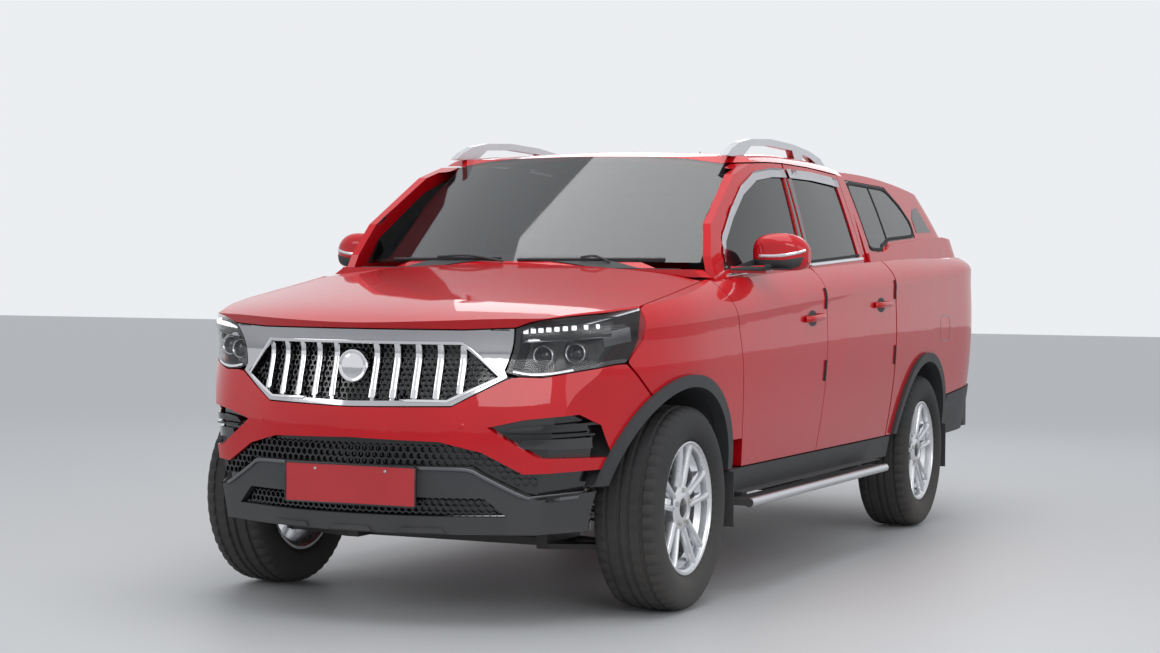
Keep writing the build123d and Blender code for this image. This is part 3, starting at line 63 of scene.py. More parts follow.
FRONT_AXLE_Y = -1.8125
REAR_AXLE_Y = 1.3975
WHEEL_X = 0.82
WHEEL_Z = 0.378
TYRE_RADIUS = 0.378
PLATE_Z = 0.494
CAST_FROM_SIDE = 2.0
CAST_FROM_TOP = 3.0
CAST_FROM_END = 4.0
SHELL = "vehicle_body"
CORNER_CUTS = 2
SQUARENESS = 5.0
OUTWARD = Vector((1, 0, 0))

Mesh = bmesh.types.BMesh
Point2 = tuple[float, float]
Points = Sequence[Point2]


class Side(Enum):
    """One side of the truck, with the sign of its x."""

    LEFT = 1
    RIGHT = -1

    @property
    def label(self) -> str:
        """Ending of the names of pieces and bodies on this side."""
        return self.name.lower()


class Facing(Enum):
    """The direction that a surface is looked at along, towards the truck."""

    FROM_LEFT = (-1, 0, 0)
    FROM_FRONT = (0, 1, 0)
    FROM_REAR = (0, -1, 0)
    FROM_TOP = (0, 0, -1)

    @property
    def axis(self) -> Vector:
        """Unit vector into the surface."""
        return Vector(self.value)

    def place(self, a: float, b: float) -> Vector:
        """Start of a ray for a surface's two own coordinates.

        Args:
            a: y for a side, otherwise x.
            b: z for a side or an end, y for the top.

        Returns:
            A point well outside the truck.
        """
        if self is Facing.FROM_LEFT:
            return Vector((CAST_FROM_SIDE, a, b))
        if self is Facing.FROM_TOP:
            return Vector((a, b, CAST_FROM_TOP))
        return Vector((a, -CAST_FROM_END * self.value[1], b))


# ---------------------------------------------------------------- finishes
@dataclass(frozen=True)
class Finish:
    """How one kind of surface looks.

    Args:
        slot: name of the record's material slot.
        color: base colour, linear.
        roughness: middle roughness.
        metallic: 0 or 1, or between for metallic paint.
        coat: clear coat over it.
        alpha: below 1 for glass.
        tint: how far the colour drifts from place to place.
        grain: strength of the fine bump.
        grain_scale: how fine the bump is.
        dust: how much pale dust lies near the ground.
        weave: threads a metre, for cloth.
        glow: strength of its own light.
        specular: how strongly the base reflects.
    """

    slot: str
    color: tuple[float, float, float]
    roughness: float
    metallic: float = 0.0
    coat: float = 0.0
    alpha: float = 1.0
    tint: float = 0.06
    grain: float = 0.0
    grain_scale: float = 700.0
    dust: float = 0.0
    weave: float = 0.0
    glow: float = 0.0
    specular: float = 0.5


class Look(Enum):
    """All the finishes on the truck."""

    PAINT = Finish("paint", (0.44, 0.003, 0.008), 0.42, 0.1, coat=0.8, specular=0.05, tint=0.04)
    DARK_PLASTIC = Finish("dark_plastic", (0.032, 0.033, 0.036), 0.62, tint=0.15, grain=0.25, grain_scale=900, dust=0.3)
    GLOSS_BLACK = Finish("gloss_black", (0.006, 0.006, 0.007), 0.12, coat=0.5, tint=0.1)
    CHROME = Finish("chrome", (0.5, 0.5, 0.52), 0.09, 1.0, tint=0.05)
    DARK_CHROME = Finish("chrome", (0.14, 0.14, 0.15), 0.3, 0.8, tint=0.06)
    BRIGHT_CHROME = Finish("chrome", (0.78, 0.78, 0.8), 0.06, 1.0, tint=0.03)
    SATIN_RAIL = Finish("satin_rail", (0.62, 0.63, 0.65), 0.32, 1.0, tint=0.05, grain=0.04, grain_scale=1600)
    ALLOY = Finish("alloy", (0.66, 0.67, 0.69), 0.27, 0.85, coat=0.6, tint=0.04, grain=0.03, grain_scale=2200)
    TINTED_GLASS = Finish("tinted_glass", (0.006, 0.007, 0.008), 0.04, coat=0.3, alpha=0.9, tint=0.05, specular=0.3)
    CLEAR_GLASS = Finish("clear_glass", (0.012, 0.016, 0.018), 0.03, coat=1.0, alpha=0.6, tint=0.05)
    LAMP_LENS = Finish("lamp_lens", (0.05, 0.055, 0.06), 0.03, coat=1.0, alpha=0.16, tint=0.02)
    LAMP_INSIDE = Finish("lamp_inside", (0.02, 0.02, 0.022), 0.22, coat=0.5, tint=0.1, grain=0.05, grain_scale=500)
    LAMP_SILVER = Finish("chrome", (0.7, 0.71, 0.74), 0.2, 0.9, tint=0.06)
    LED = Finish("lamp_lens", (0.95, 0.96, 1.0), 0.15, coat=1.0, tint=0.01, glow=1.1)
    RED_LENS = Finish("red_lens", (0.36, 0.006, 0.01), 0.1, coat=1.0, alpha=0.93, tint=0.08)
    AMBER = Finish("red_lens", (0.75, 0.25, 0.02), 0.12, coat=1.0, tint=0.05)
    TYRE = Finish("tyre", (0.018, 0.018, 0.019), 0.78, tint=0.2, grain=0.3, grain_scale=650, dust=0.45)
    CHASSIS = Finish("chassis", (0.018, 0.018, 0.02), 0.5, tint=0.2, grain=0.15, grain_scale=300, dust=0.5)
    CAST = Finish("cast", (0.19, 0.19, 0.195), 0.55, 0.7, tint=0.15, grain=0.3, grain_scale=420, dust=0.4)
    STEEL = Finish("steel", (0.5, 0.49, 0.48), 0.33, 1.0, tint=0.12, grain=0.1, grain_scale=350, dust=0.3)
    SEAT_CLOTH = Finish("seat_cloth", (0.05, 0.05, 0.054), 0.9, tint=0.2, weave=900)
    SEAT_EDGE = Finish("seat_cloth", (0.03, 0.03, 0.033), 0.55, tint=0.1, grain=0.3, grain_scale=500)
    INTERIOR = Finish("interior", (0.035, 0.035, 0.038), 0.6, tint=0.12, grain=0.35, grain_scale=800)
    PLATE = Finish("plate_red", (0.38, 0.012, 0.018), 0.35, coat=0.3, tint=0.06, grain=0.03, grain_scale=900)
    SCREEN = Finish("interior", (0.004, 0.004, 0.005), 0.08, coat=1.0, tint=0.02)
    FOAM = Finish("dark_plastic", (0.02, 0.02, 0.021), 0.92, tint=0.2, grain=0.6, grain_scale=420)


def node(tree: bpy.types.NodeTree, kind: str, inputs: dict | None = None, **settings) -> bpy.types.Node:
    """A shader node with its settings made and its inputs set or linked.

    Args:
        tree: where it goes.
        kind: its type, without "ShaderNode".
        inputs: a value or an output socket for each input's name or index.
        **settings: its own properties.

    Returns:
        The new node.
    """
    made = tree.nodes.new("ShaderNode" + kind)
    for key, value in settings.items():
        setattr(made, key, value)
    for key, value in (inputs or {}).items():
        if isinstance(value, bpy.types.NodeSocket):
            tree.links.new(value, made.inputs[key])
        else:
            made.inputs[key].default_value = value
    return made


class MaterialShelf:
    """Makes each finish's material once."""

    def __init__(self) -> None:
        """Makes the node groups that the finishes share."""
        self.made: dict[Look, bpy.types.Material] = {}
        self.drift = self._drift_group()
        self.grain = self._grain_group()
        self.cloth = self._cloth_group()

    @staticmethod
    def _group(name: str, into: Sequence[str], out: Sequence[str]) -> tuple:
        """A new node group, with its input node's sockets and its output node's.

        Args:
            name: name of the group.
            into: names of its inputs.
            out: names of its outputs.

        Returns:
            The group, its input sockets and its output node.
        """
        group = bpy.data.node_groups.new(name, "ShaderNodeTree")
        kinds = {"Color": "NodeSocketColor", "Normal": "NodeSocketVector"}
        for way, labels in (("INPUT", into), ("OUTPUT", out)):
            for label in labels:
                group.interface.new_socket(label, in_out=way, socket_type=kinds.get(label, "NodeSocketFloat"))
        return group, group.nodes.new("NodeGroupInput").outputs, group.nodes.new("NodeGroupOutput").inputs

    def _drift_group(self) -> bpy.types.NodeTree:
        """Colour and roughness that drift slowly over a piece, with dust towards the ground.

        Returns:
            The group.
        """
        group, given, out = self._group("surface_drift", ("Color", "Roughness", "Amount", "Dust"),
                                        ("Color", "Roughness"))
        place = node(group, "TexCoord").outputs["Object"]
        noise = node(group, "TexNoise", {"Vector": place, "Scale": 5.5, "Detail": 5}).outputs["Fac"]
        spread = node(group, "MapRange", {"Value": noise, "From Min": 0.3, "From Max": 0.7, "To Min": -1, "To Max": 1})
        scaled = node(group, "Math", {0: spread.outputs["Result"], 1: given["Amount"]}, operation="MULTIPLY")
        gain = node(group, "Math", {0: scaled.outputs[0], 1: 1})
        shade = node(group, "HueSaturation", {"Value": gain.outputs[0], "Color": given["Color"]})
        height = node(group, "SeparateXYZ", {0: place}).outputs["Z"]
        low = node(group, "MapRange", {"Value": height, "From Min": 0.55, "From Max": 0.05, "To Min": 0, "To Max": 1})
        settled = node(group, "Math", {0: low.outputs["Result"], 1: noise}, operation="MULTIPLY")
        dusty = node(group, "Math", {0: settled.outputs[0], 1: given["Dust"]}, operation="MULTIPLY")
        mix = node(group, "Mix", {"Factor": dusty.outputs[0], "A": shade.outputs["Color"],
                                  "B": (0.16, 0.14, 0.12, 1)}, data_type="RGBA")
        rough = node(group, "Math", {0: scaled.outputs[0], 1: 0.5, 2: given["Roughness"]}, operation="MULTIPLY_ADD")
        group.links.new(mix.outputs["Result"], out["Color"])
        group.links.new(rough.outputs[0], out["Roughness"])
        return group

    def _grain_group(self) -> bpy.types.NodeTree:
        """Fine grain on a moulded or cast surface.

        Returns:
            The group.
        """
        group, given, out = self._group("surface_grain", ("Strength", "Scale"), ("Normal",))
        place = node(group, "TexCoord").outputs["Object"]
        cells = node(group, "TexVoronoi", {"Vector": place, "Scale": given["Scale"]})
        noise = node(group, "TexNoise", {"Vector": place, "Scale": given["Scale"], "Detail": 3})
        both = node(group, "Math", {0: cells.outputs["Distance"], 1: noise.outputs["Fac"]})
        bump = node(group, "Bump", {"Distance": 0.0006, "Height": both.outputs[0], "Strength": given["Strength"]})
        group.links.new(bump.outputs["Normal"], out["Normal"])
        return group

    def _cloth_group(self) -> bpy.types.NodeTree:
        """Two crossing sets of threads.

        Returns:
            The group.
        """
        group, given, out = self._group("cloth_weave", ("Color", "Threads"), ("Color", "Normal"))
        place = node(group, "TexCoord").outputs["Object"]
        waves = [node(group, "TexWave", {"Vector": place, "Scale": given["Threads"], "Distortion": 0.6},
                      bands_direction=way) for way in ("X", "Z")]
        over = node(group, "Math", {k: wave.outputs["Fac"] for k, wave in enumerate(waves)}, operation="MAXIMUM")
        mix = node(group, "Mix", {"Factor": 0.4, "A": given["Color"], "B": over.outputs[0]}, data_type="RGBA",
                   blend_type="MULTIPLY")
        bump = node(group, "Bump", {"Distance": 0.0008, "Strength": 0.5, "Height": over.outputs[0]})
        group.links.new(mix.outputs["Result"], out["Color"])
        group.links.new(bump.outputs["Normal"], out["Normal"])
        return group

    def get(self, look: Look) -> bpy.types.Material:
        """The node material of a finish, made at its first use.

        Args:
            look: the finish wanted.

        Returns:
            Its material.
        """
        if look not in self.made:
            self.made[look] = self._make(look)
        return self.made[look]

    def _make(self, look: Look) -> bpy.types.Material:
        """Makes the material of one finish.

        Args:
            look: the finish.

        Returns:
            The new material.
        """
        finish = look.value
        material = bpy.data.materials.new(f"look_{look.name.lower()}")
        material.use_nodes = True
        tree = material.node_tree
        surface = tree.nodes["Principled BSDF"].inputs
        for key, number in (("Metallic", finish.metallic), ("Coat Weight", finish.coat), ("Alpha", finish.alpha),
                            ("Specular IOR Level", finish.specular)):
            surface[key].default_value = number

        drift = node(tree, "Group", {"Color": (*finish.color, 1), "Roughness": finish.roughness,
                                     "Amount": finish.tint, "Dust": finish.dust}, node_tree=self.drift)
        color = drift.outputs["Color"]
        tree.links.new(drift.outputs["Roughness"], surface["Roughness"])
        if finish.weave:
            cloth = node(tree, "Group", {"Threads": finish.weave, "Color": color}, node_tree=self.cloth)
            color = cloth.outputs["Color"]
            tree.links.new(cloth.outputs["Normal"], surface["Normal"])
        elif finish.grain:
            grain = node(tree, "Group", {"Strength": finish.grain, "Scale": finish.grain_scale},
                         node_tree=self.grain)
            tree.links.new(grain.outputs["Normal"], surface["Normal"])
        tree.links.new(color, surface["Base Color"])
        if finish.glow:
            tree.links.new(color, surface["Emission Color"])
            surface["Emission Strength"].default_value = finish.glow
        return material


# ---------------------------------------------------------------- meshes
class Workshop:
    """Turns bmeshes into finished pieces that ride on a body."""

    def __init__(self, shelf: MaterialShelf) -> None:
        """Starts an empty workshop."""
        self.shelf = shelf
        self.names: list[str] = []

    def piece(self, name: str, mesh: Mesh, look: Look, body: str = SHELL, *, flip: bool = False,
              sharp: float = 32.0, replaces: Sequence[str] = ()) -> bpy.types.Object:
        """Adds one piece to the scene.

        Args:
            name: name of the piece.
            mesh: its mesh in the frame's axes, which is used up.
            look: its finish.
            body: the CAD body that it rides on.
            flip: mirrors it to the truck's other side.
            sharp: edges that bend more than this, in degrees, stay sharp.
            replaces: CAD nodes that it stands for.

        Returns:
            The new object.
        """
        if flip:
            bmesh.ops.transform(mesh, matrix=Matrix.Scale(-1, 4, OUTWARD), verts=mesh.verts)
            bmesh.ops.reverse_faces(mesh, faces=mesh.faces)
        for face in mesh.faces:
            face.smooth = True
        for edge in mesh.edges:
            edge.smooth = not (len(edge.link_faces) == 2 and edge.calc_face_angle(0) > radians(sharp))
        data = bpy.data.meshes.new(name)
        mesh.to_mesh(data)
        mesh.free()
        data.materials.append(self.shelf.get(look))
        thing = bpy.data.objects.new(name, data)
        bpy.context.scene.collection.objects.link(thing)
        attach(thing, body)
        if replaces:
            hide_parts(*replaces)
        self.names.append(name)
        return thing

    def pair(self, name: str, make: Callable[[], Mesh], look: Look, body: str = SHELL, *,
             replaces: Sequence[str] = (), sharp: float = 32.0) -> list[bpy.types.Object]:
        """Adds a piece on the left and its mirror on the right.

        Args:
            name: name without its side.
            make: builds the left mesh anew at each call.
            look: the finish.
            body: body's name, whose {side} is filled in.
            replaces: CAD nodes that it stands for, whose {side} is filled in.
            sharp: as for piece().

        Returns:
            The two objects.
        """
        return [self.piece(f"{name}_{side.label}", make(), look, body.format(side=side.label),
                           flip=side is Side.RIGHT, sharp=sharp,
                           replaces=[each.format(side=side.label) for each in replaces]) for side in Side]


class Skin:
    """The surfaces of some CAD nodes seen along one direction, to lay pieces on.

    Args:
        shop: adds the pieces.
        facing: the direction that the surfaces are looked at along.
        *nodes: the nodes.
    """

    def __init__(self, shop: Workshop, facing: Facing, *nodes: str) -> None:
        """Gathers the faces of the nodes into one tree.

        Args:
            shop: where pieces are added.
            facing: the direction to cast along.
            nodes: names of the CAD nodes.
        """
        self.shop, self.facing = shop, facing
        points: list[Vector] = []
        faces: list[list[int]] = []
        for name in nodes:
            data = frame["nodes"][name].data
            first = len(points)
            points += [v.co.copy() for v in data.vertices]
            faces += [[first + i for i in p.vertices] for p in data.polygons]
        self.tree = BVHTree.FromPolygons(points, faces)

    def seen(self, facing: Facing) -> "Skin":
        """The same surfaces looked at along another direction.

        Args:
            facing: the direction to cast along.

        Returns:
            The same surfaces, seen another way.
        """
        other = copy(self)
        other.facing = facing
        return other

    def hit(self, a: float, b: float) -> tuple[Vector, Vector]:
        """Where the surface is met, and its outward normal there.

        Args:
            a: first coordinate, as Facing.place takes it.
            b: second coordinate.

        Returns:
            The place and the normal.
        """
        start, axis = self.facing.place(a, b), self.facing.axis
        point, normal, _, _ = self.tree.ray_cast(start, axis)
        if point is None:
            point, normal, _, _ = self.tree.find_nearest(start + axis * 2.0)
            normal = -axis
        return point, -normal if normal.dot(axis) > 0 else normal

    def bar(self, points: Points, width: float, height: float, *, lift: float = 0.0,
            closed: bool = False, smooth: bool = True, step: float = 0.02) -> Mesh:
        """A bar of trim laid on the surface.

        Args:
            points: the bar's middle line in the surface's own coordinates.
            width: across the bar.
            height: how far it stands out.
            lift: how far its underside is off the surface.
            closed: True for a ring.
            smooth: False keeps the corners.
            step: the distance between cross-sections.

        Returns:
            A closed mesh.
        """
        run = rounded(points, step, closed=closed) if smooth else dense(points, step)
        hits = [self.hit(a, b) for a, b in (run[:-1] if closed else run)]
        return sweep([p + n * lift for p, n in hits], [n for _, n in hits],
                     bar_section(width, height, 0.001 if not lift else 0), closed)

    def sheet(self, first: Points, second: Points, lift: float = 0.001, thick: float = 0.002,
              across: int = 6, step: float = 0.025) -> Mesh:
        """A panel laid on the surface between two lines.

        Args:
            first: one edge of the panel.
            second: the opposite edge, with its points in the same order.
            lift: how far its outer face is off the surface.
            thick: how thick it is, inwards.
            across: faces from one edge to the other.
            step: the distance between points along the edges.

        Returns:
            A closed mesh.
        """
        mesh = bmesh.new()
        one, two = dense(first, step), dense(second, step)
        last = max(len(one), len(two)) - 1

        def pick(run: list[Point2], t: float) -> Point2:
            """The point at a share of the way along a run."""
            spot = t * (len(run) - 1)
            k = min(int(spot), len(run) - 2)
            return tuple(p + (q - p) * (spot - k) for p, q in zip(run[k], run[k + 1]))

        grids = ([], [])
        for i in range(last + 1):
            (a0, b0), (a1, b1) = pick(one, i / last), pick(two, i / last)
            row = [self.hit(a0 + (a1 - a0) * j / across, b0 + (b1 - b0) * j / across) for j in range(across + 1)]
            for grid, rise in zip(grids, (lift, lift - thick)):
                grid.append([mesh.verts.new(p + n * rise) for p, n in row])
        outer, inner = grids
        skinned(mesh, outer, around=False)
        skinned(mesh, inner[::-1], around=False)
        rims = [[row[0] for row in grid] + grid[-1][1:] + [row[-1] for row in grid[-2::-1]] + grid[0][-2:0:-1]
                for grid in grids]
        skinned(mesh, list(zip(*rims)), around=False, closed=True)
        return outwards(mesh)

    def lay(self, name: str, look: Look, points: Points, width: float, height: float,
            body: str = SHELL, **options) -> None:
        """Adds a pair of bars, made by bar()."""
        self.shop.pair(name, lambda: self.bar(points, width, height, **options), look, body)

    def lay_one(self, name: str, look: Look, points: Points, width: float, height: float,
                body: str = SHELL, **options) -> None:
        """Adds a single bar, made by bar()."""
        self.shop.piece(name, self.bar(points, width, height, **options), look, body)

    def cover(self, name: str, look: Look, first: Points, second: Points, lift: float,
              thick: float, body: str = SHELL) -> None:
        """Adds a pair of panels, made by sheet()."""
        self.shop.pair(name, lambda: self.sheet(first, second, lift, thick), look, body)

    def cover_one(self, name: str, look: Look, first: Points, second: Points, lift: float,
                  thick: float, body: str = SHELL) -> None:
        """Adds a single panel, made by sheet()."""
        self.shop.piece(name, self.sheet(first, second, lift, thick), look, body)


def skinned(mesh: Mesh, rings: Sequence[Sequence], *, around: bool = True, closed: bool = False,
            capped: bool = False) -> None:
    """Joins neighbouring rows of vertices with faces.

    Args:
        mesh: the mesh that they belong to.
        rings: rows with equal numbers of vertices.
        around: True joins each row's last vertex to its first.
        closed: True joins the last row to the first.
        capped: True fills the two end rows.
    """
    pairs = list(zip(rings, rings[1:])) + ([(rings[-1], rings[0])] if closed else [])
    size = len(rings[0])
    for one, two in pairs:
        for k in range(size if around else size - 1):
            m = (k + 1) % size
            mesh.faces.new((one[k], one[m], two[m], two[k]))
    if capped:
        mesh.faces.new(rings[0][::-1])
        mesh.faces.new(rings[-1])


def outwards(mesh: Mesh) -> Mesh:
    """The same mesh with all its faces turned outwards."""
    bmesh.ops.recalc_face_normals(mesh, faces=mesh.faces)
    return mesh


def dense(points: Points, step: float) -> list[Point2]:
    """Points along a run of straight lines, no further apart than a step.

    Args:
        points: the corners of the line.
        step: the longest gap that may stay.

    Returns:
        The points with more between them.
    """
    out = [points[0]]
    for (a0, b0), (a1, b1) in zip(points, points[1:]):
        count = max(1, round(hypot(a1 - a0, b1 - b0) / step))
        out += [(a0 + (a1 - a0) * k / count, b0 + (b1 - b0) * k / count) for k in range(1, count + 1)]
    return out


def rounded(points: Points, step: float, closed: bool = False) -> list[Point2]:
    """A run of points with its corners cut smooth.

    Args:
        points: the corners.
        step: the longest distance between two points afterwards.
        closed: True if the last point joins the first.

    Returns:
        The smoothed run.
    """
    run = list(points)
    for _ in range(CORNER_CUTS):
        cut = [] if closed else [run[0]]
        for (a0, b0), (a1, b1) in zip(run, run[1:] + run[:1] if closed else run[1:]):
            reach = min(0.25, 0.03 / max(hypot(a1 - a0, b1 - b0), 1e-6))
            cut.append((a0 + (a1 - a0) * reach, b0 + (b1 - b0) * reach))
            cut.append((a1 + (a0 - a1) * reach, b1 + (b0 - b1) * reach))
        run = cut if closed else cut + [run[-1]]
    return dense(run + run[:1] if closed else run, step)


def sweep(path: Sequence[Vector], ups: Sequence[Vector], section: Points, closed: bool = False) -> Mesh:
    """A solid bar with one cross-section along a path.

    Args:
        path: points along it.
        ups: the outward direction at each point.
        section: the cross-section's corners as (sideways, outwards).
        closed: True for a ring.

    Returns:
        A closed mesh.
    """
    mesh = bmesh.new()
    count = len(path)
    rings = []
    for i, (place, up) in enumerate(zip(path, ups)):
        ahead = path[(i + 1) % count] if closed or i + 1 < count else place
        behind = path[i - 1] if closed or i else place
        along = (ahead - behind).normalized()
        side = along.cross(up).normalized()
        out = side.cross(along).normalized()
        rings.append([mesh.verts.new(place + side * a + out * b) for a, b in section])
    skinned(mesh, rings, closed=closed, capped=not closed)
    return outwards(mesh)


def bar_section(width: float, height: float, sink: float = 0.0) -> list[Point2]:
    """A low rounded bar's cross-section.

    Args:
        width: across the bar.
        height: how far it stands out.
        sink: how far it goes into what it lies on.

    Returns:
        Its corners.
    """
    w, r = width / 2, min(width, height) * 0.3
    return [(-w, -sink), (w, -sink), (w, height - r), (w - r * 0.3, height - r * 0.3), (w - r, height),
            (-w + r, height), (-w + r * 0.3, height - r * 0.3), (-w, height - r)]


def oval_section(across: float, out: float, sides: int = 10) -> list[Point2]:
    """An oval's points for a cross-section, from its two half-widths."""
    return [(across * cos(2 * pi * k / sides), out * sin(2 * pi * k / sides)) for k in range(sides)]


def tube(points: Sequence[Sequence[float]], radius: float, sides: int = 10) -> Mesh:
    """A round bar through points, with its bends smoothed.

    Args:
        points: at least two points.
        radius: the bar's radius.
        sides: faces around it.

    Returns:
        A closed mesh.
    """
    points = [Vector(point) for point in points]
    path = [points[0]]
    for i, (p, q) in enumerate(zip(points, points[1:])):
        before = points[i - 1] if i else p
        after = points[i + 2] if i + 2 < len(points) else q
        path += interpolate_bezier(p, p + (q - before) / 6, q - (after - p) / 6, q, 8)[1:]
    upright = abs((path[-1] - path[0]).normalized().z) > 0.9
    up = Vector((0, 1, 0) if upright else (0, 0, 1))
    return sweep(path, [up] * len(path), oval_section(radius, radius, sides))


def lathe(profile: Points, centre: Sequence[float], axis: Sequence[float] = OUTWARD, segments: int = 24,
          closed: bool = False) -> Mesh:
    """A profile spun round an axis.

    Args:
        profile: points as (along the axis, radius).
        centre: where along is 0.
        axis: the axis's direction.
        segments: faces round it.
        closed: True if the last point joins the first.

    Returns:
        The mesh.
    """
    mesh = bmesh.new()
    centre, axis = Vector(centre), Vector(axis)
    turn = Vector((0, 0, 1)).rotation_difference(axis.normalized()).to_matrix()
    spots = [mesh.verts.new(centre + turn @ Vector((r, 0, a))) for a, r in profile]
    edges = [mesh.edges.new(pair) for pair in zip(spots, spots[1:])]
    if closed:
        edges.append(mesh.edges.new((spots[-1], spots[0])))
    bmesh.ops.spin(mesh, geom=spots + edges, cent=centre, axis=axis, angle=2 * pi, steps=segments,
                   use_merge=True, use_duplicate=False)
    bmesh.ops.remove_doubles(mesh, verts=mesh.verts, dist=1e-6)
    return outwards(mesh)


def merged(*parts: Mesh) -> Mesh:
    """Several meshes as one, without joining their skins.

    Args:
        parts: meshes, which are used up.

    Returns:
        One mesh with all of their faces.
    """
    whole = bmesh.new()
    for part in parts:
        data = bpy.data.meshes.new("part")
        part.to_mesh(data)
        part.free()
        whole.from_mesh(data)
        bpy.data.meshes.remove(data)
    return whole


def brick(low: Sequence[float], high: Sequence[float], edge: float = 0.003, segments: int = 2) -> Mesh:
    """A block with rounded edges.

    Args:
        low: lowest corner.
        high: highest corner.
        edge: radius of the edges.
        segments: faces across an edge.

    Returns:
        A closed mesh.
    """
    mesh = bmesh.new()
    bmesh.ops.create_cube(mesh, size=1)
    low, high = Vector(low), Vector(high)
    bmesh.ops.scale(mesh, vec=high - low, verts=mesh.verts)
    bmesh.ops.translate(mesh, vec=(low + high) / 2, verts=mesh.verts)
    edge = min(edge, 0.45 * min(high - low))
    bmesh.ops.bevel(mesh, geom=mesh.edges, offset=edge, segments=segments, profile=0.6, affect="EDGES")
    return mesh


def mirrored(half: Points) -> list[Point2]:
    """A closed outline from its half at positive x, given downwards."""
    return [(-x, z) for x, z in half[:1]] + list(half) + [(-x, z) for x, z in half[:0:-1]]


def inside(point: Point2, outline: Points) -> bool:
    """True if a point lies in a closed outline.

    Args:
        point: the place to test.
        outline: a closed outline.

    Returns:
        True where the place is inside.
    """
    x, y = point
    within = False
    for (x0, y0), (x1, y1) in zip(outline, list(outline[1:]) + [outline[0]]):
        if (y0 > y) != (y1 > y) and x < (x1 - x0) * (y - y0) / (y1 - y0) + x0:
            within = not within
    return within


def honeycomb(skin: Skin, outline: Points, pitch: float, web: float, lift: float, depth: float) -> Mesh:
    """A net of six-sided cells in front of a surface.

    Args:
        skin: what it stands in front of.
        outline: the net's edge as (x, z).
        pitch: distance between neighbouring cells.
        web: width of the net's bars.
        lift: distance of the net's face off the surface.
        depth: how deep its cells are.

    Returns:
        The net's mesh.
    """
    mesh = bmesh.new()
    xs, zs = [p[0] for p in outline], [p[1] for p in outline]
    rise = pitch * 0.866
    outer, inner = pitch / 1.732, (pitch - web) / 1.732
    for row in range(int((max(zs) - min(zs)) / rise) + 2):
        for column in range(int((max(xs) - min(xs)) / pitch) + 2):
            x = min(xs) + (column + 0.5 * (row % 2)) * pitch
            z = min(zs) + row * rise
            if not inside((x, z), outline):
                continue
            place, normal = skin.hit(x, z)
            turn = Vector((0, -1, 0)).rotation_difference(normal).to_matrix()
            skinned(mesh, [[mesh.verts.new(place + turn @ Vector((radius * sin(k * pi / 3), -out,
                                                                  radius * cos(k * pi / 3)))) for k in range(6)]
                           for radius, out in ((outer, lift), (inner, lift), (inner, lift - depth))])
    bmesh.ops.remove_doubles(mesh, verts=mesh.verts, dist=0.0004)
    return mesh


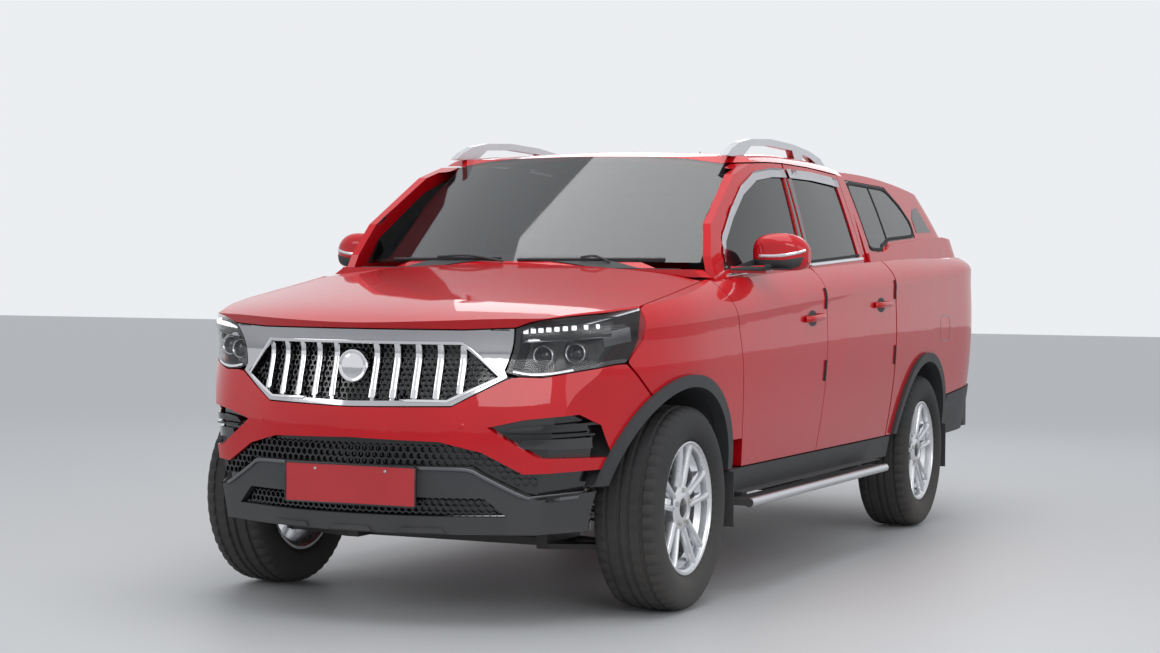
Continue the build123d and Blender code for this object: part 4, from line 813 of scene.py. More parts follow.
# ---------------------------------------------------------------- the truck's assemblies
@dataclass
class Wheels:
    """Tyres with their tread, alloy rims, brake discs and nuts."""

    shop: Workshop
    spokes: int = 5
    segments: int = 150

    def build(self) -> None:
        """Makes the four wheels."""
        for end, axle in (("front", FRONT_AXLE_Y), ("rear", REAR_AXLE_Y)):
            centre = Vector((WHEEL_X, axle, WHEEL_Z))
            for name, make, look, sharp, replaced in (
                    ("tyre_tread", self.tyre, Look.TYRE, 28, [end + "_tyre_{side}"]),
                    ("alloy_wheel", self.rim, Look.ALLOY, 34, [end + "_rim_{side}"]),
                    ("wheel_cap", self.cap, Look.GLOSS_BLACK, 32, []),
                    ("wheel_nuts", self.nuts, Look.STEEL, 32, []),
                    ("brake_disc", self.disc, Look.CAST, 32, [])):
                self.shop.pair(f"{end}_{name}", lambda: make(centre), look, end + "_wheel_{side}",
                               replaces=replaced, sharp=sharp)

    @staticmethod
    def cut(turn: int, across: float, radius: float) -> float:
        """How deep a tyre is cut at one of its steps round the axle.

        Args:
            turn: the step round the axle.
            across: place across the tread.
            radius: distance from the axle.

        Returns:
            The depth to take off the radius.
        """
        away = abs(across)
        if 0.074 < away < 0.116 and turn % 3 == 0:
            return 0.007
        if 0.026 <= away <= 0.06 and (turn + (across > 0)) % 3 == 1:
            return 0.004
        if away < 0.009 and turn % 3 == 2:
            return 0.003
        return -0.0008 if 0.1225 < away and 0.3 < radius < 0.34 and turn % 3 else 0.0

    def tyre(self, centre: Vector) -> Mesh:
        """One tyre, with four grooves round it and cuts across its shoulders.

        Args:
            centre: centre of the wheel.

        Returns:
            The tyre.
        """
        tread = TYRE_RADIUS - 0.0005
        half = [(a, tread - sunk) for a, sunk in (
            (0.0, 0.0), (0.008, 0.0), (0.013, 0.008), (0.022, 0.008), (0.026, 0.0), (0.044, 0.0005), (0.058, 0.001),
            (0.062, 0.009), (0.072, 0.009), (0.076, 0.002), (0.09, 0.004), (0.104, 0.009), (0.112, 0.016),
            (0.119, 0.028))]
        half += [(0.1235, 0.335), (0.126, 0.322), (0.127, 0.305), (0.126, 0.292), (0.1225, 0.278), (0.117, 0.266),
                 (0.112, 0.26), (0.107, 0.2545), (0.1, 0.2485)]
        profile = [(-a, r) for a, r in reversed(half[1:])] + half
        bead = [(0.094, 0.2475), (-0.094, 0.2475)]
        mesh = bmesh.new()
        rings = []
        for turn in range(self.segments):
            angle = 2 * pi * turn / self.segments
            reaches = [(a, r - self.cut(turn, a, r)) for a, r in profile] + bead
            rings.append([mesh.verts.new(self.spot(centre, angle, a, r)) for a, r in reaches])
        skinned(mesh, rings, closed=True)
        return outwards(mesh)

    def rim(self, centre: Vector) -> Mesh:
        """One alloy rim: barrel, hub and five pairs of spokes.

        Args:
            centre: centre of the wheel.

        Returns:
            The rim.
        """
        barrel = lathe([(0.106, 0.246), (0.1065, 0.2405), (0.104, 0.2375), (0.1, 0.236), (0.094, 0.227),
                        (0.07, 0.224), (0.052, 0.202), (-0.06, 0.204), (-0.095, 0.222), (-0.106, 0.236),
                        (-0.106, 0.246), (-0.096, 0.246), (-0.094, 0.23), (-0.06, 0.212), (0.05, 0.21),
                        (0.068, 0.232), (0.094, 0.234), (0.096, 0.246)], centre, segments=96, closed=True)
        hub = lathe([(0.083, 0.0335), (0.086, 0.036), (0.087, 0.044), (0.085, 0.05), (0.083, 0.08), (0.079, 0.087),
                     (0.05, 0.088), (0.028, 0.078), (0.028, 0.0335)], centre, segments=72, closed=True)
        parts = [barrel, hub]
        for angle in self.angles():
            parts += [self.leg(centre, angle, 1), self.leg(centre, angle, -1), self.web(centre, angle)]
        return merged(*parts)

    def angles(self) -> list[float]:
        """Where the pairs of spokes stand round the axle."""
        return [radians(90 + k * 360 / self.spokes) for k in range(self.spokes)]

    @staticmethod
    def spot(centre: Vector, angle: float, x: float, reach: float, off: float = 0.0) -> Vector:
        """A point of the wheel: off the centre plane, out along an angle and beside it."""
        return centre + Vector((x, reach * cos(angle) - off * sin(angle), reach * sin(angle) + off * cos(angle)))

    def leg(self, centre: Vector, angle: float, side: int) -> Mesh:
        """One leg of a pair of spokes, with a raised middle.

        Args:
            centre: centre of the wheel.
            angle: direction of the pair of legs.
            side: which leg of the pair.

        Returns:
            One leg of a spoke.
        """
        mesh = bmesh.new()
        rings = []
        for reach, middle, width, face, back in (
                (0.07, 0.0205, 0.024, 0.081, 0.042), (0.09, 0.0235, 0.0245, 0.0855, 0.05),
                (0.12, 0.0285, 0.0235, 0.0885, 0.058), (0.155, 0.034, 0.023, 0.0925, 0.064),
                (0.185, 0.039, 0.0235, 0.0955, 0.068), (0.21, 0.0435, 0.025, 0.098, 0.07),
                (0.2265, 0.047, 0.03, 0.0985, 0.07), (0.2345, 0.0485, 0.036, 0.0965, 0.074)):
            half = width / 2
            section = [(-half, back), (-half, face - 0.0075), (-half + 0.003, face - 0.0025), (-half * 0.45, face),
                       (0, face + 0.0008), (half * 0.45, face), (half - 0.003, face - 0.0025),
                       (half, face - 0.0075), (half, back), (0, back - 0.006)]
            rings.append([mesh.verts.new(self.spot(centre, angle, x, reach, side * middle + off))
                          for off, x in section])
        skinned(mesh, rings, capped=True)
        return outwards(mesh)

    def web(self, centre: Vector, angle: float) -> Mesh:
        """The sunk web that joins the two legs of a pair near the hub.

        Args:
            centre: centre of the wheel.
            angle: direction of the pair of legs.

        Returns:
            The web.
        """
        mesh = bmesh.new()
        rings = [[mesh.verts.new(self.spot(centre, angle, x - drop, reach, off))
                  for off, drop in ((-half, 0), (half, 0), (half, 0.02), (-half, 0.02))]
                 for reach, half, x in ((0.076, 0.012, 0.07), (0.095, 0.013, 0.066), (0.11, 0.011, 0.056),
                                        (0.12, 0.006, 0.05))]
        skinned(mesh, rings, capped=True)
        return outwards(mesh)

    def cap(self, centre: Vector) -> Mesh:
        """Plain centre cap."""
        return lathe([(0.0925, 0.0), (0.092, 0.016), (0.089, 0.029), (0.0865, 0.0325), (0.07, 0.0325), (0.07, 0.0)],
                     centre, segments=48)

    def nuts(self, centre: Vector) -> Mesh:
        """Five nuts, one at the root of each pair of spokes.

        Args:
            centre: centre of the wheel.

        Returns:
            The wheel nuts.
        """
        profile = [(0.094, 0.0), (0.0935, 0.005), (0.091, 0.0085), (0.084, 0.0092), (0.08, 0.011), (0.08, 0.0)]
        return merged(*[lathe(profile, self.spot(centre, angle, 0.0, 0.0655), segments=6)
                        for angle in self.angles()])

    def disc(self, centre: Vector) -> Mesh:
        """Vented brake disc with its bell.

        Args:
            centre: centre of the wheel.

        Returns:
            The brake disc.
        """
        return lathe([(-0.016, 0.137), (-0.021, 0.137), (-0.021, 0.132), (-0.027, 0.132), (-0.027, 0.137),
                      (-0.032, 0.137), (-0.034, 0.134), (-0.034, 0.085), (-0.03, 0.08), (0.012, 0.078),
                      (0.02, 0.074), (0.022, 0.04), (0.016, 0.04), (0.014, 0.07), (0.0, 0.074), (-0.012, 0.08),
                      (-0.014, 0.085), (-0.014, 0.134)], centre, segments=72, closed=True)


@dataclass
class Nose:
    """Grille, lamps, bumper, guard and number plate."""

    shop: Workshop
    bars: int = 5
    bar_pitch: float = 0.076
    leds: int = 9

    def __post_init__(self) -> None:
        """Finds the surfaces that its pieces lie on."""
        ahead = Facing.FROM_FRONT
        self.front = Skin(self.shop, ahead, "grille", "front_bumper", "bumper_guard", "bonnet", "headlamp_lenses",
                          "fender_left", "fender_right")
        self.backing = Skin(self.shop, ahead, "nose_backing")
        self.lens = Skin(self.shop, ahead, "headlamp_lenses")

    def build(self) -> None:
        """Makes everything at the front end."""
        self.grille()
        self.headlamps()
        self.lower()
        self.plate_holder()

    def grille(self) -> None:
        """Mesh, bars, outline and round bare emblem."""
        opening = mirrored([(0.376, 0.984), (0.498, 0.874), (0.342, 0.798)])
        self.shop.piece("grille_mesh", honeycomb(self.backing, opening, 0.021, 0.005, 0.016, 0.012),
                        Look.GLOSS_BLACK)
        self.front.lay_one("grille_outline", Look.BRIGHT_CHROME,
                           mirrored([(0.384, 0.992), (0.51, 0.874), (0.349, 0.79)]), 0.011, 0.006, closed=True,
                           smooth=False)
        self.shop.pair("grille_bar_feet", self.feet, Look.BRIGHT_CHROME)
        self.shop.pair("grille_bar_faces", self.faces, Look.BRIGHT_CHROME, sharp=60)
        self.front.lay_one("nose_band_groove", Look.GLOSS_BLACK, [(-0.545, 1.0385), (0.545, 1.0385)], 0.004, 0.0015,
                           step=0.03)
        self.shop.piece("round_emblem", lathe(
            [(0.014, 0.0), (0.0135, 0.028), (0.0115, 0.0435), (0.0135, 0.0475), (0.0145, 0.0525), (0.0125, 0.0565),
             (0.006, 0.0575), (-0.02, 0.0565), (-0.02, 0.0)], (0, -2.664, 0.907), (0, -1, 0.03), 64),
            Look.BRIGHT_CHROME)

    def uprights(self, low: float, top: float) -> list[tuple[float, float, float]]:
        """x, low end and top end of the grille's left bars, whose outermost follows the slanting outline."""
        return [(x, low + max(0, x - 0.346) * 0.48, top - max(0, x - 0.38) * 0.9)
                for x in [0.08 + self.bar_pitch * k for k in range(self.bars)]]

    def feet(self) -> Mesh:
        """Flared feet of the upright bars.

        Returns:
            The feet.
        """
        parts = []
        for x, low, top in self.uprights(0.797, 0.986):
            parts.append(self.front.bar([(x, low + 0.001), (x, low + 0.03)], 0.021, 0.006, smooth=False))
            parts.append(self.front.bar([(x, top - 0.016), (x, top)], 0.02, 0.005, smooth=False))
        return merged(*parts)

    def faces(self) -> Mesh:
        """Rounded bright faces of the upright bars.

        Returns:
            The faces.
        """
        parts = []
        for x, low, top in self.uprights(0.803, 0.98):
            points, normals = zip(*[self.front.hit(a, b) for a, b in dense([(x, low), (x, top)], 0.02)])
            parts.append(sweep(points, normals, oval_section(0.0125, 0.006, 12)))
        return merged(*parts)

    def behind(self, x: float, z: float, depth: float) -> Vector:
        """A point behind a headlamp's lens."""
        return self.lens.hit(x, z)[0] + Vector((-0.3, 1, -0.1)).normalized() * depth

    def lamp_bar(self, count: int, start: Sequence[float], span: Sequence[float], up: Sequence[float],
                 section: Points) -> Mesh:
        """A bar behind a headlamp's lens.

        Args:
            count: how many points it has.
            start: x, z and depth of its first point.
            span: how far its last point is from the first in each.
            up: its outward direction.
            section: its cross-section.

        Returns:
            A closed mesh.
        """
        shares = [k / (count - 1) for k in range(count)]
        path = [self.behind(*(a + b * t for a, b in zip(start, span))) for t in shares]
        return sweep(path, [Vector(up).normalized()] * count, section)

    def headlamps(self) -> None:
        """Insides of the lamps, seen through their clear lenses."""
        shop = self.shop
        reach = Vector((0.0092, 0.004, 0.0085))

        def leds() -> Mesh:
            """The row of small lamps."""
            middles = [self.behind(0.592 + 0.0232 * k, 1.035 + 0.0022 * k, 0.016) for k in range(self.leds)]
            return merged(*[brick(middle - reach, middle + reach, 0.0035) for middle in middles])

        def eyes(profile: Points, closed: bool) -> Mesh:
            """The round lamps or eyes, in one mesh."""
            return merged(*[lathe(profile, self.behind(x, z, 0.052), (0.08, -1, 0.02), 40, closed)
                            for x, z in ((0.632, 0.953), (0.722, 0.962))])

        ring = [(0.0, 0.030), (0.012, 0.0315), (0.015, 0.035), (0.012, 0.038), (-0.03, 0.0385), (-0.034, 0.028)]
        ball = [(0.0115, 0.0), (0.0095, 0.0125), (0.004, 0.0215), (-0.004, 0.0275), (-0.012, 0.029), (-0.02, 0.0)]
        shop.pair("headlamp_leds", leds, Look.LED)
        shop.pair("headlamp_led_tray", lambda: self.lamp_bar(
            12, (0.575, 1.02, 0.034), (0.2255, 0.0209, 0), (0.2, -1, 0.1), bar_section(0.05, 0.012, 0.006)),
            Look.LAMP_INSIDE)
        shop.pair("headlamp_brow", lambda: self.lamp_bar(
            13, (0.552, 0.998, 0.012), (0.245, 0.022, 0.01), (0.25, -1, 0.15), bar_section(0.013, 0.006, 0.004)),
            Look.LAMP_SILVER)
        shop.pair("headlamp_rings", lambda: eyes(ring, True), Look.LAMP_SILVER)
        shop.pair("headlamp_projectors", lambda: eyes(ball, False), Look.SCREEN)
        shop.pair("headlamp_side_mirror", lambda: self.lamp_bar(
            9, (0.79, 1.005, 0.016), (0.052, 0.02, 0), (0.8, -0.6, 0), bar_section(0.05, 0.004, 0.004)),
            Look.DARK_CHROME)
        self.front.lay("headlamp_accent", Look.LAMP_SILVER,
                       [(0.548, 0.894), (0.6, 0.884), (0.66, 0.886), (0.722, 0.9)], 0.009, 0.003)

    def lower(self) -> None:
        """Fog lamps, intakes, guard trim and parking sensors."""
        shop, backing = self.shop, self.backing
        shop.piece("lower_mesh", honeycomb(backing, [(-0.5, 0.396), (0.5, 0.396), (0.465, 0.455), (-0.465, 0.455)],
                                           0.024, 0.005, 0.02, 0.014), Look.GLOSS_BLACK)
        upper = [(-0.43, 0.572), (0.43, 0.572), (0.56, 0.5), (0.622, 0.488), (0.618, 0.534), (0.593, 0.537),
                 (0.463, 0.61), (0.327, 0.645), (-0.327, 0.645), (-0.463, 0.61), (-0.593, 0.537), (-0.618, 0.534),
                 (-0.622, 0.488), (-0.56, 0.5)]
        shop.piece("upper_mesh", honeycomb(backing, upper, 0.026, 0.006, 0.026, 0.014), Look.GLOSS_BLACK)
        guard = Skin(shop, Facing.FROM_FRONT, "bumper_guard")
        guard.lay("guard_edge", Look.DARK_CHROME,
                  [(0.0, 0.559), (0.425, 0.559), (0.462, 0.534), (0.62, 0.448), (0.72, 0.456)], 0.012, 0.006)
        skids = [guard.sheet([(x0, 0.302), (x1, 0.302)], [(x0 + 0.03, 0.352), (x1 - 0.03, 0.352)], 0.007, 0.009)
                 for x0, x1 in ((-0.36, -0.16), (-0.1, 0.1), (0.16, 0.36))]
        shop.piece("skid_pads", merged(*skids), Look.DARK_PLASTIC, sharp=50)
        for name, look, low, high, lift in (
                ("fog_lamp", Look.SCREEN, [(0.56, 0.628), (0.785, 0.628)], [(0.575, 0.658), (0.782, 0.668)], 0.024),
                ("fog_blade", Look.GLOSS_BLACK, [(0.52, 0.684), (0.782, 0.694)], [(0.54, 0.7), (0.77, 0.722)], 0.03),
                ("fog_rib", Look.GLOSS_BLACK, [(0.53, 0.672), (0.79, 0.676)], [(0.53, 0.678), (0.79, 0.682)],
                 0.036)):
            backing.cover(name, look, low, high, lift, 0.014)
        sensor = [(0.0012, 0.0), (0.0012, 0.008), (0.0006, 0.0105), (-0.004, 0.0105), (-0.004, 0)]
        shop.pair("parking_sensors", lambda: merged(*[lathe(sensor, *self.front.hit(x, z)) for x, z in
                                                      ((0.4, 0.706), (0.835, 0.62))]), Look.PAINT)

    def plate_holder(self) -> None:
        """Frame and screws of the blank number plate."""
        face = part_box("plate")[0].y
        half, high, rim = 0.26, 0.069, 0.003
        bars = []
        for (x0, z0), (x1, z1) in (((-half, -high), (half, -high)), ((-half, high), (half, high)),
                                   ((-half, -high), (-half, high)), ((half, -high), (half, high))):
            bars.append(brick((x0 - rim, face - 0.002, PLATE_Z + z0 - rim),
                              (x1 + rim, face + 0.005, PLATE_Z + z1 + rim), 0.0012))
        self.shop.piece("plate_frame", merged(*bars), Look.GLOSS_BLACK)
        screw = [(0.003, 0.0), (0.0025, 0.004), (0.0005, 0.0055), (-0.001, 0.0055)]
        self.shop.piece("plate_screws", merged(*[lathe(screw, (x, face, PLATE_Z + 0.05), (0, -1, 0), 16)
                                                 for x in (-0.14, 0.14)]), Look.STEEL)


@dataclass
class CabTrim:
    """Glass edges, handles, mirrors, rails, wipers and the aerial of the cab and its doors."""

    shop: Workshop

    def build(self) -> None:
        """Makes the trim of the cab."""
        self.doors()
        self.handles()
        self.mirrors()
        self.top()
        self.steps()

    def doors(self) -> None:
        """Belt strips, black door posts, window visors, seals and door pads."""
        shop = self.shop
        glass = Skin(shop, Facing.FROM_LEFT, "front_door_glass_left", "rear_door_glass_left", "front_door_left",
                     "rear_door_left")
        for end, belt, post, top, seal, pad in (
                ("front", [(-1.19, 1.238), (-0.92, 1.257), (-0.262, 1.288)],
                 ([(-0.3, 1.3), (-0.268, 1.7)], [(-0.255, 1.3), (-0.255, 1.705)]),
                 [(-1.188, 1.322), (-1.128, 1.41), (-0.99, 1.508), (-0.82, 1.608), (-0.632, 1.676), (-0.43, 1.699),
                  (-0.268, 1.705)],
                 [(-1.2, 1.262), (-0.92, 1.275), (-0.305, 1.302)], (-0.262, 0.79, 1.1)),
                ("rear", [(-0.238, 1.289), (0.3, 1.315), (0.585, 1.328)],
                 ([(-0.236, 1.302), (-0.236, 1.705)], [(-0.208, 1.302), (-0.18, 1.7)]),
                 [(-0.23, 1.706), (0.1, 1.708), (0.4, 1.7), (0.498, 1.694)],
                 [(-0.205, 1.305), (0.3, 1.33), (0.545, 1.343)], (0.808, 0.83, 1.14))):
            body = end + "_door_{side}"
            skin = Skin(shop, Facing.FROM_LEFT, end + "_door_left")
            skin.lay(end + "_belt_strip", Look.LAMP_SILVER, belt, 0.013, 0.007, body)
            skin.cover(end + "_post_cover", Look.GLOSS_BLACK, *post, 0.0015, 0.003, body)
            eaves = [(y + 0.012, z - 0.038) for y, z in top]
            shop.pair(end + "_visor", lambda: glass.sheet(top, eaves, 0.009, 0.0025, across=4), Look.CHROME, body,
                      sharp=50)
            glass.lay(end + "_glass_seal", Look.FOAM, seal, 0.011, 0.003, body, lift=0.0005)
            y, *heights = pad
            shop.pair(end + "_door_pads", lambda: merged(*[
                skin.bar([(y, z), (y, z + 0.09)], 0.014, 0.007, smooth=False) for z in heights]), Look.FOAM, body)

    def handles(self) -> None:
        """Pull handles in front of their dark cups."""
        for end, y0, z0, y1, z1 in (("front", -0.545, 1.058, -0.318, 1.07), ("rear", 0.47, 1.112, 0.705, 1.118)):
            skin = Skin(self.shop, Facing.FROM_LEFT, end + "_door_left")
            body = end + "_door_{side}"
            y, z = (y0 + y1) / 2 - 0.012, (z0 + z1) / 2 - 0.002
            low, high = ([(y - 0.062 * cos(radians(a)), z + rise * sin(radians(a))) for a in range(0, 181, 15)]
                         for rise in (-0.034, 0.034))

            def grip() -> Mesh:
                """The bar of one handle.

                Returns:
                    The bar.
                """
                path, ups = [], []
                for t in [k / 14 for k in range(15)]:
                    point, normal = skin.hit(y0 + (y1 - y0) * t, z0 + (z1 - z0) * t)
                    path.append(point + normal * (0.024 * (1 - abs(2 * t - 1) ** 5) + 0.003))
                    ups.append(normal)
                return sweep(path, ups, oval_section(0.0135, 0.0085, 12))

            self.shop.pair(end + "_handle_cup", lambda: skin.sheet(low, high, 0.0012, 0.002, across=5),
                           Look.DARK_PLASTIC, body)
            self.shop.pair(end + "_handle", grip, Look.PAINT, body, sharp=60)

    def mirrors(self) -> None:
        """Lower shell, repeater, glass and sail of the door mirrors."""
        body = "front_door_{side}"
        skin = Skin(self.shop, Facing.FROM_FRONT, "mirror_left")
        skin.cover("mirror_lower_shell", Look.DARK_PLASTIC,
                   [(0.812, 1.312), (0.9, 1.304), (1.0, 1.302), (1.075, 1.316)],
                   [(0.812, 1.262), (0.9, 1.258), (1.0, 1.26), (1.06, 1.279)], 0.0025, 0.004, body)
        skin.lay("mirror_repeater", Look.LAMP_SILVER, [(0.9, 1.318), (0.98, 1.318), (1.05, 1.33), (1.078, 1.342)],
                 0.012, 0.003, body)
        skin.seen(Facing.FROM_REAR).cover("mirror_glass", Look.BRIGHT_CHROME, [(0.835, 1.29), (1.05, 1.295)],
                                          [(0.835, 1.385), (1.06, 1.378)], 0.0015, 0.003, body)
        Skin(self.shop, Facing.FROM_LEFT, "front_door_left").cover(
            "mirror_sail", Look.DARK_PLASTIC, [(-1.215, 1.268), (-1.1, 1.275)], [(-1.2, 1.29), (-1.118, 1.392)],
            0.0025, 0.004, body)

    def top(self) -> None:
        """Wipers, aerial, roof grooves, cowl grille and the line of the fuel flap."""
        shop = self.shop
        screen = Skin(shop, Facing.FROM_FRONT, "windscreen")
        cab = Skin(shop, Facing.FROM_TOP, "cab_body")

        def wiper(x0: float, x1: float, z0: float) -> list[Mesh]:
            """One wiper: its blade and its arm.

            Args:
                x0: x of the end of the blade.
                x1: x of the pivot end.
                z0: height of the blade.

            Returns:
                The blade and the arm.
            """
            blade = [screen.hit(x0 + (x1 - x0) * k / 11, z0 + 0.006 * k / 11) for k in range(12)]
            path, normals = [p + n * 0.004 for p, n in blade], [n for _, n in blade]
            (pivot, out), middle, away = screen.hit(x1, z0 - 0.012), path[5], normals[5]
            arm = [pivot + out * 0.014, (pivot + middle) / 2 + away * 0.022, middle + away * 0.01]
            return [sweep(path, normals, bar_section(0.009, 0.006, 0.003)), tube(arm, 0.0045, 8)]

        shop.piece("wipers", merged(*wiper(-0.62, -0.06, 1.291), *wiper(0.02, 0.6, 1.291)), Look.DARK_PLASTIC)
        foot = cab.hit(0.03, 0.585)[0] - Vector((0, 0, 0.002))
        shop.piece("roof_aerial", lathe([(0.0, 0.034), (0.006, 0.032), (0.022, 0.012), (0.05, 0.0055), (0.062, 0.0)],
                                        foot, (0, 0.35, 1)), Look.GLOSS_BLACK)
        cab.lay("roof_groove", Look.GLOSS_BLACK, [(0.565, -0.58), (0.58, -0.2), (0.58, 0.6)], 0.012, 0.0012)
        cab.cover_one("cowl_grille", Look.DARK_PLASTIC, [(-0.7, -1.395), (0.7, -1.395)],
                      [(-0.7, -1.34), (0.7, -1.34)], 0.004, 0.006)
        Skin(shop, Facing.FROM_LEFT, "bed").lay_one(
            "fuel_flap_line", Look.GLOSS_BLACK, [(1.66, 0.925), (1.845, 0.92), (1.85, 1.05), (1.65, 1.055)], 0.004,
            0.0008, closed=True)

    def steps(self) -> None:
        """Ribbed treads and bright edges of the side steps."""
        low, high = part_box("side_steps")
        y0, y1, top = low.y + 0.02, high.y - 0.02, high.z
        lefts = [0.914 + 0.0115 * k for k in range(5)]
        edge = [(0.9865, y0 - 0.015, 0.357), (0.9865, y1 + 0.015, 0.357)]
        self.shop.pair("step_tread", lambda: merged(*[brick((x, y0, top - 0.001), (x + 0.0045, y1, top + 0.0025),
                                                            0.001) for x in lefts]), Look.DARK_PLASTIC)
        self.shop.pair("step_edge", lambda: tube(edge, 0.0175, 20), Look.SATIN_RAIL)


@dataclass
class BackEnd:
    """Trim of the bed, tailgate, canopy and rear lamps."""

    shop: Workshop

    def build(self) -> None:
        """Makes the trim behind the cab."""
        self.canopy()
        self.tail()
        self.load_floor()

    def canopy(self) -> None:
        """Window seals, quarter glass, roof ribs, spoiler, hatch edge and hatch lock."""
        shell = Skin(self.shop, Facing.FROM_LEFT, "canopy", "canopy_side_windows", "canopy_hatch")
        roof = shell.seen(Facing.FROM_TOP)
        window = [(0.75, 1.376), (0.75, 1.692), (1.39, 1.686), (1.552, 1.603), (1.641, 1.525), (1.632, 1.459),
                  (1.106, 1.43), (1.036, 1.406), (0.981, 1.4), (0.956, 1.376)]
        shell.lay("canopy_window_seal", Look.FOAM, window, 0.016, 0.004, closed=True, step=0.03)
        shell.lay("canopy_window_bar", Look.FOAM, [(1.1, 1.424), (1.1, 1.696)], 0.014, 0.003)
        shell.cover("canopy_quarter_glass", Look.TINTED_GLASS, [(1.69, 1.475), (1.85, 1.482), (1.98, 1.484)],
                    [(1.7, 1.55), (1.78, 1.6), (1.87, 1.612)], 0.0015, 0.003)
        roof.lay("canopy_roof_rib", Look.PAINT, [(0.42, 0.8), (0.42, 1.75)], 0.05, 0.005)
        roof.lay_one("canopy_spoiler", Look.PAINT, [(-0.52, 2.0), (-0.3, 2.045), (0, 2.058), (0.3, 2.045),
                                                    (0.52, 2.0)], 0.07, 0.008)
        hatch = Skin(self.shop, Facing.FROM_REAR, "canopy_hatch")
        hatch.lay_one("hatch_edge", Look.FOAM, [(-0.615, 1.49), (0.615, 1.49), (0.615, 1.64), (-0.615, 1.64)],
                      0.012, 0.003, "canopy_hatch", closed=True)
        lock = [(0.014, 0.0), (0.013, 0.013), (0.009, 0.018), (0.0, 0.022), (-0.002, 0.0)]
        self.shop.piece("hatch_lock", lathe(lock, *hatch.hit(0.0, 1.503)), Look.DARK_PLASTIC, "canopy_hatch")

    def tail(self) -> None:
        """Tailgate handle and fold, lamp divisions, reflectors and step pad."""
        behind = Facing.FROM_REAR
        gate = Skin(self.shop, behind, "tailgate")
        gate.cover_one("tailgate_cup", Look.GLOSS_BLACK, [(-0.13, 1.06), (0.13, 1.06)],
                       [(-0.13, 1.12), (0.13, 1.12)], 0.0015, 0.003, "tailgate")
        gate.lay_one("tailgate_handle", Look.PAINT, [(-0.105, 1.098), (0.105, 1.098)], 0.03, 0.012, "tailgate")
        gate.lay_one("tailgate_fold", Look.PAINT, [(-0.7, 0.865), (0.7, 0.865)], 0.02, 0.003, "tailgate")
        lamp = Skin(self.shop, behind, "tail_lamps")
        for name, z, look in (("upper", 1.13, Look.LAMP_SILVER), ("lower", 1.03, Look.AMBER)):
            lamp.lay(f"tail_lamp_{name}", look, [(0.762, z), (0.812, z)], 0.06, 0.001)
        bumper = Skin(self.shop, behind, "rear_bumper")
        bumper.lay("rear_reflector", Look.RED_LENS, [(0.46, 0.5), (0.58, 0.5)], 0.03, 0.003)
        bumper.seen(Facing.FROM_TOP).cover_one("rear_step_pad", Look.FOAM, [(-0.45, 2.61), (0.45, 2.61)],
                                               [(-0.45, 2.68), (0.45, 2.68)], 0.002, 0.004)

    def load_floor(self) -> None:
        """Pressed ribs on the floor and lashing eyes on the bed's walls."""
        floor, wall, loop = 0.762, 0.79, 0.765
        ribs = [brick((x - 0.022, 0.93, floor - 0.002), (x + 0.022, 2.49, floor + 0.004))
                for x in [-0.49 + 0.098 * k for k in range(11)]]
        self.shop.piece("load_floor_ribs", merged(*ribs), Look.PAINT)

        def eyes() -> Mesh:
            """The round lamps or eyes, in one mesh."""
            return merged(*[tube([(wall, y - 0.025, 0.84), (loop, y - 0.02, 0.84), (loop, y + 0.02, 0.84),
                                  (wall, y + 0.025, 0.84)], 0.005) for y in (0.95, 2.4)])

        self.shop.pair("lashing_eyes", eyes, Look.STEEL)


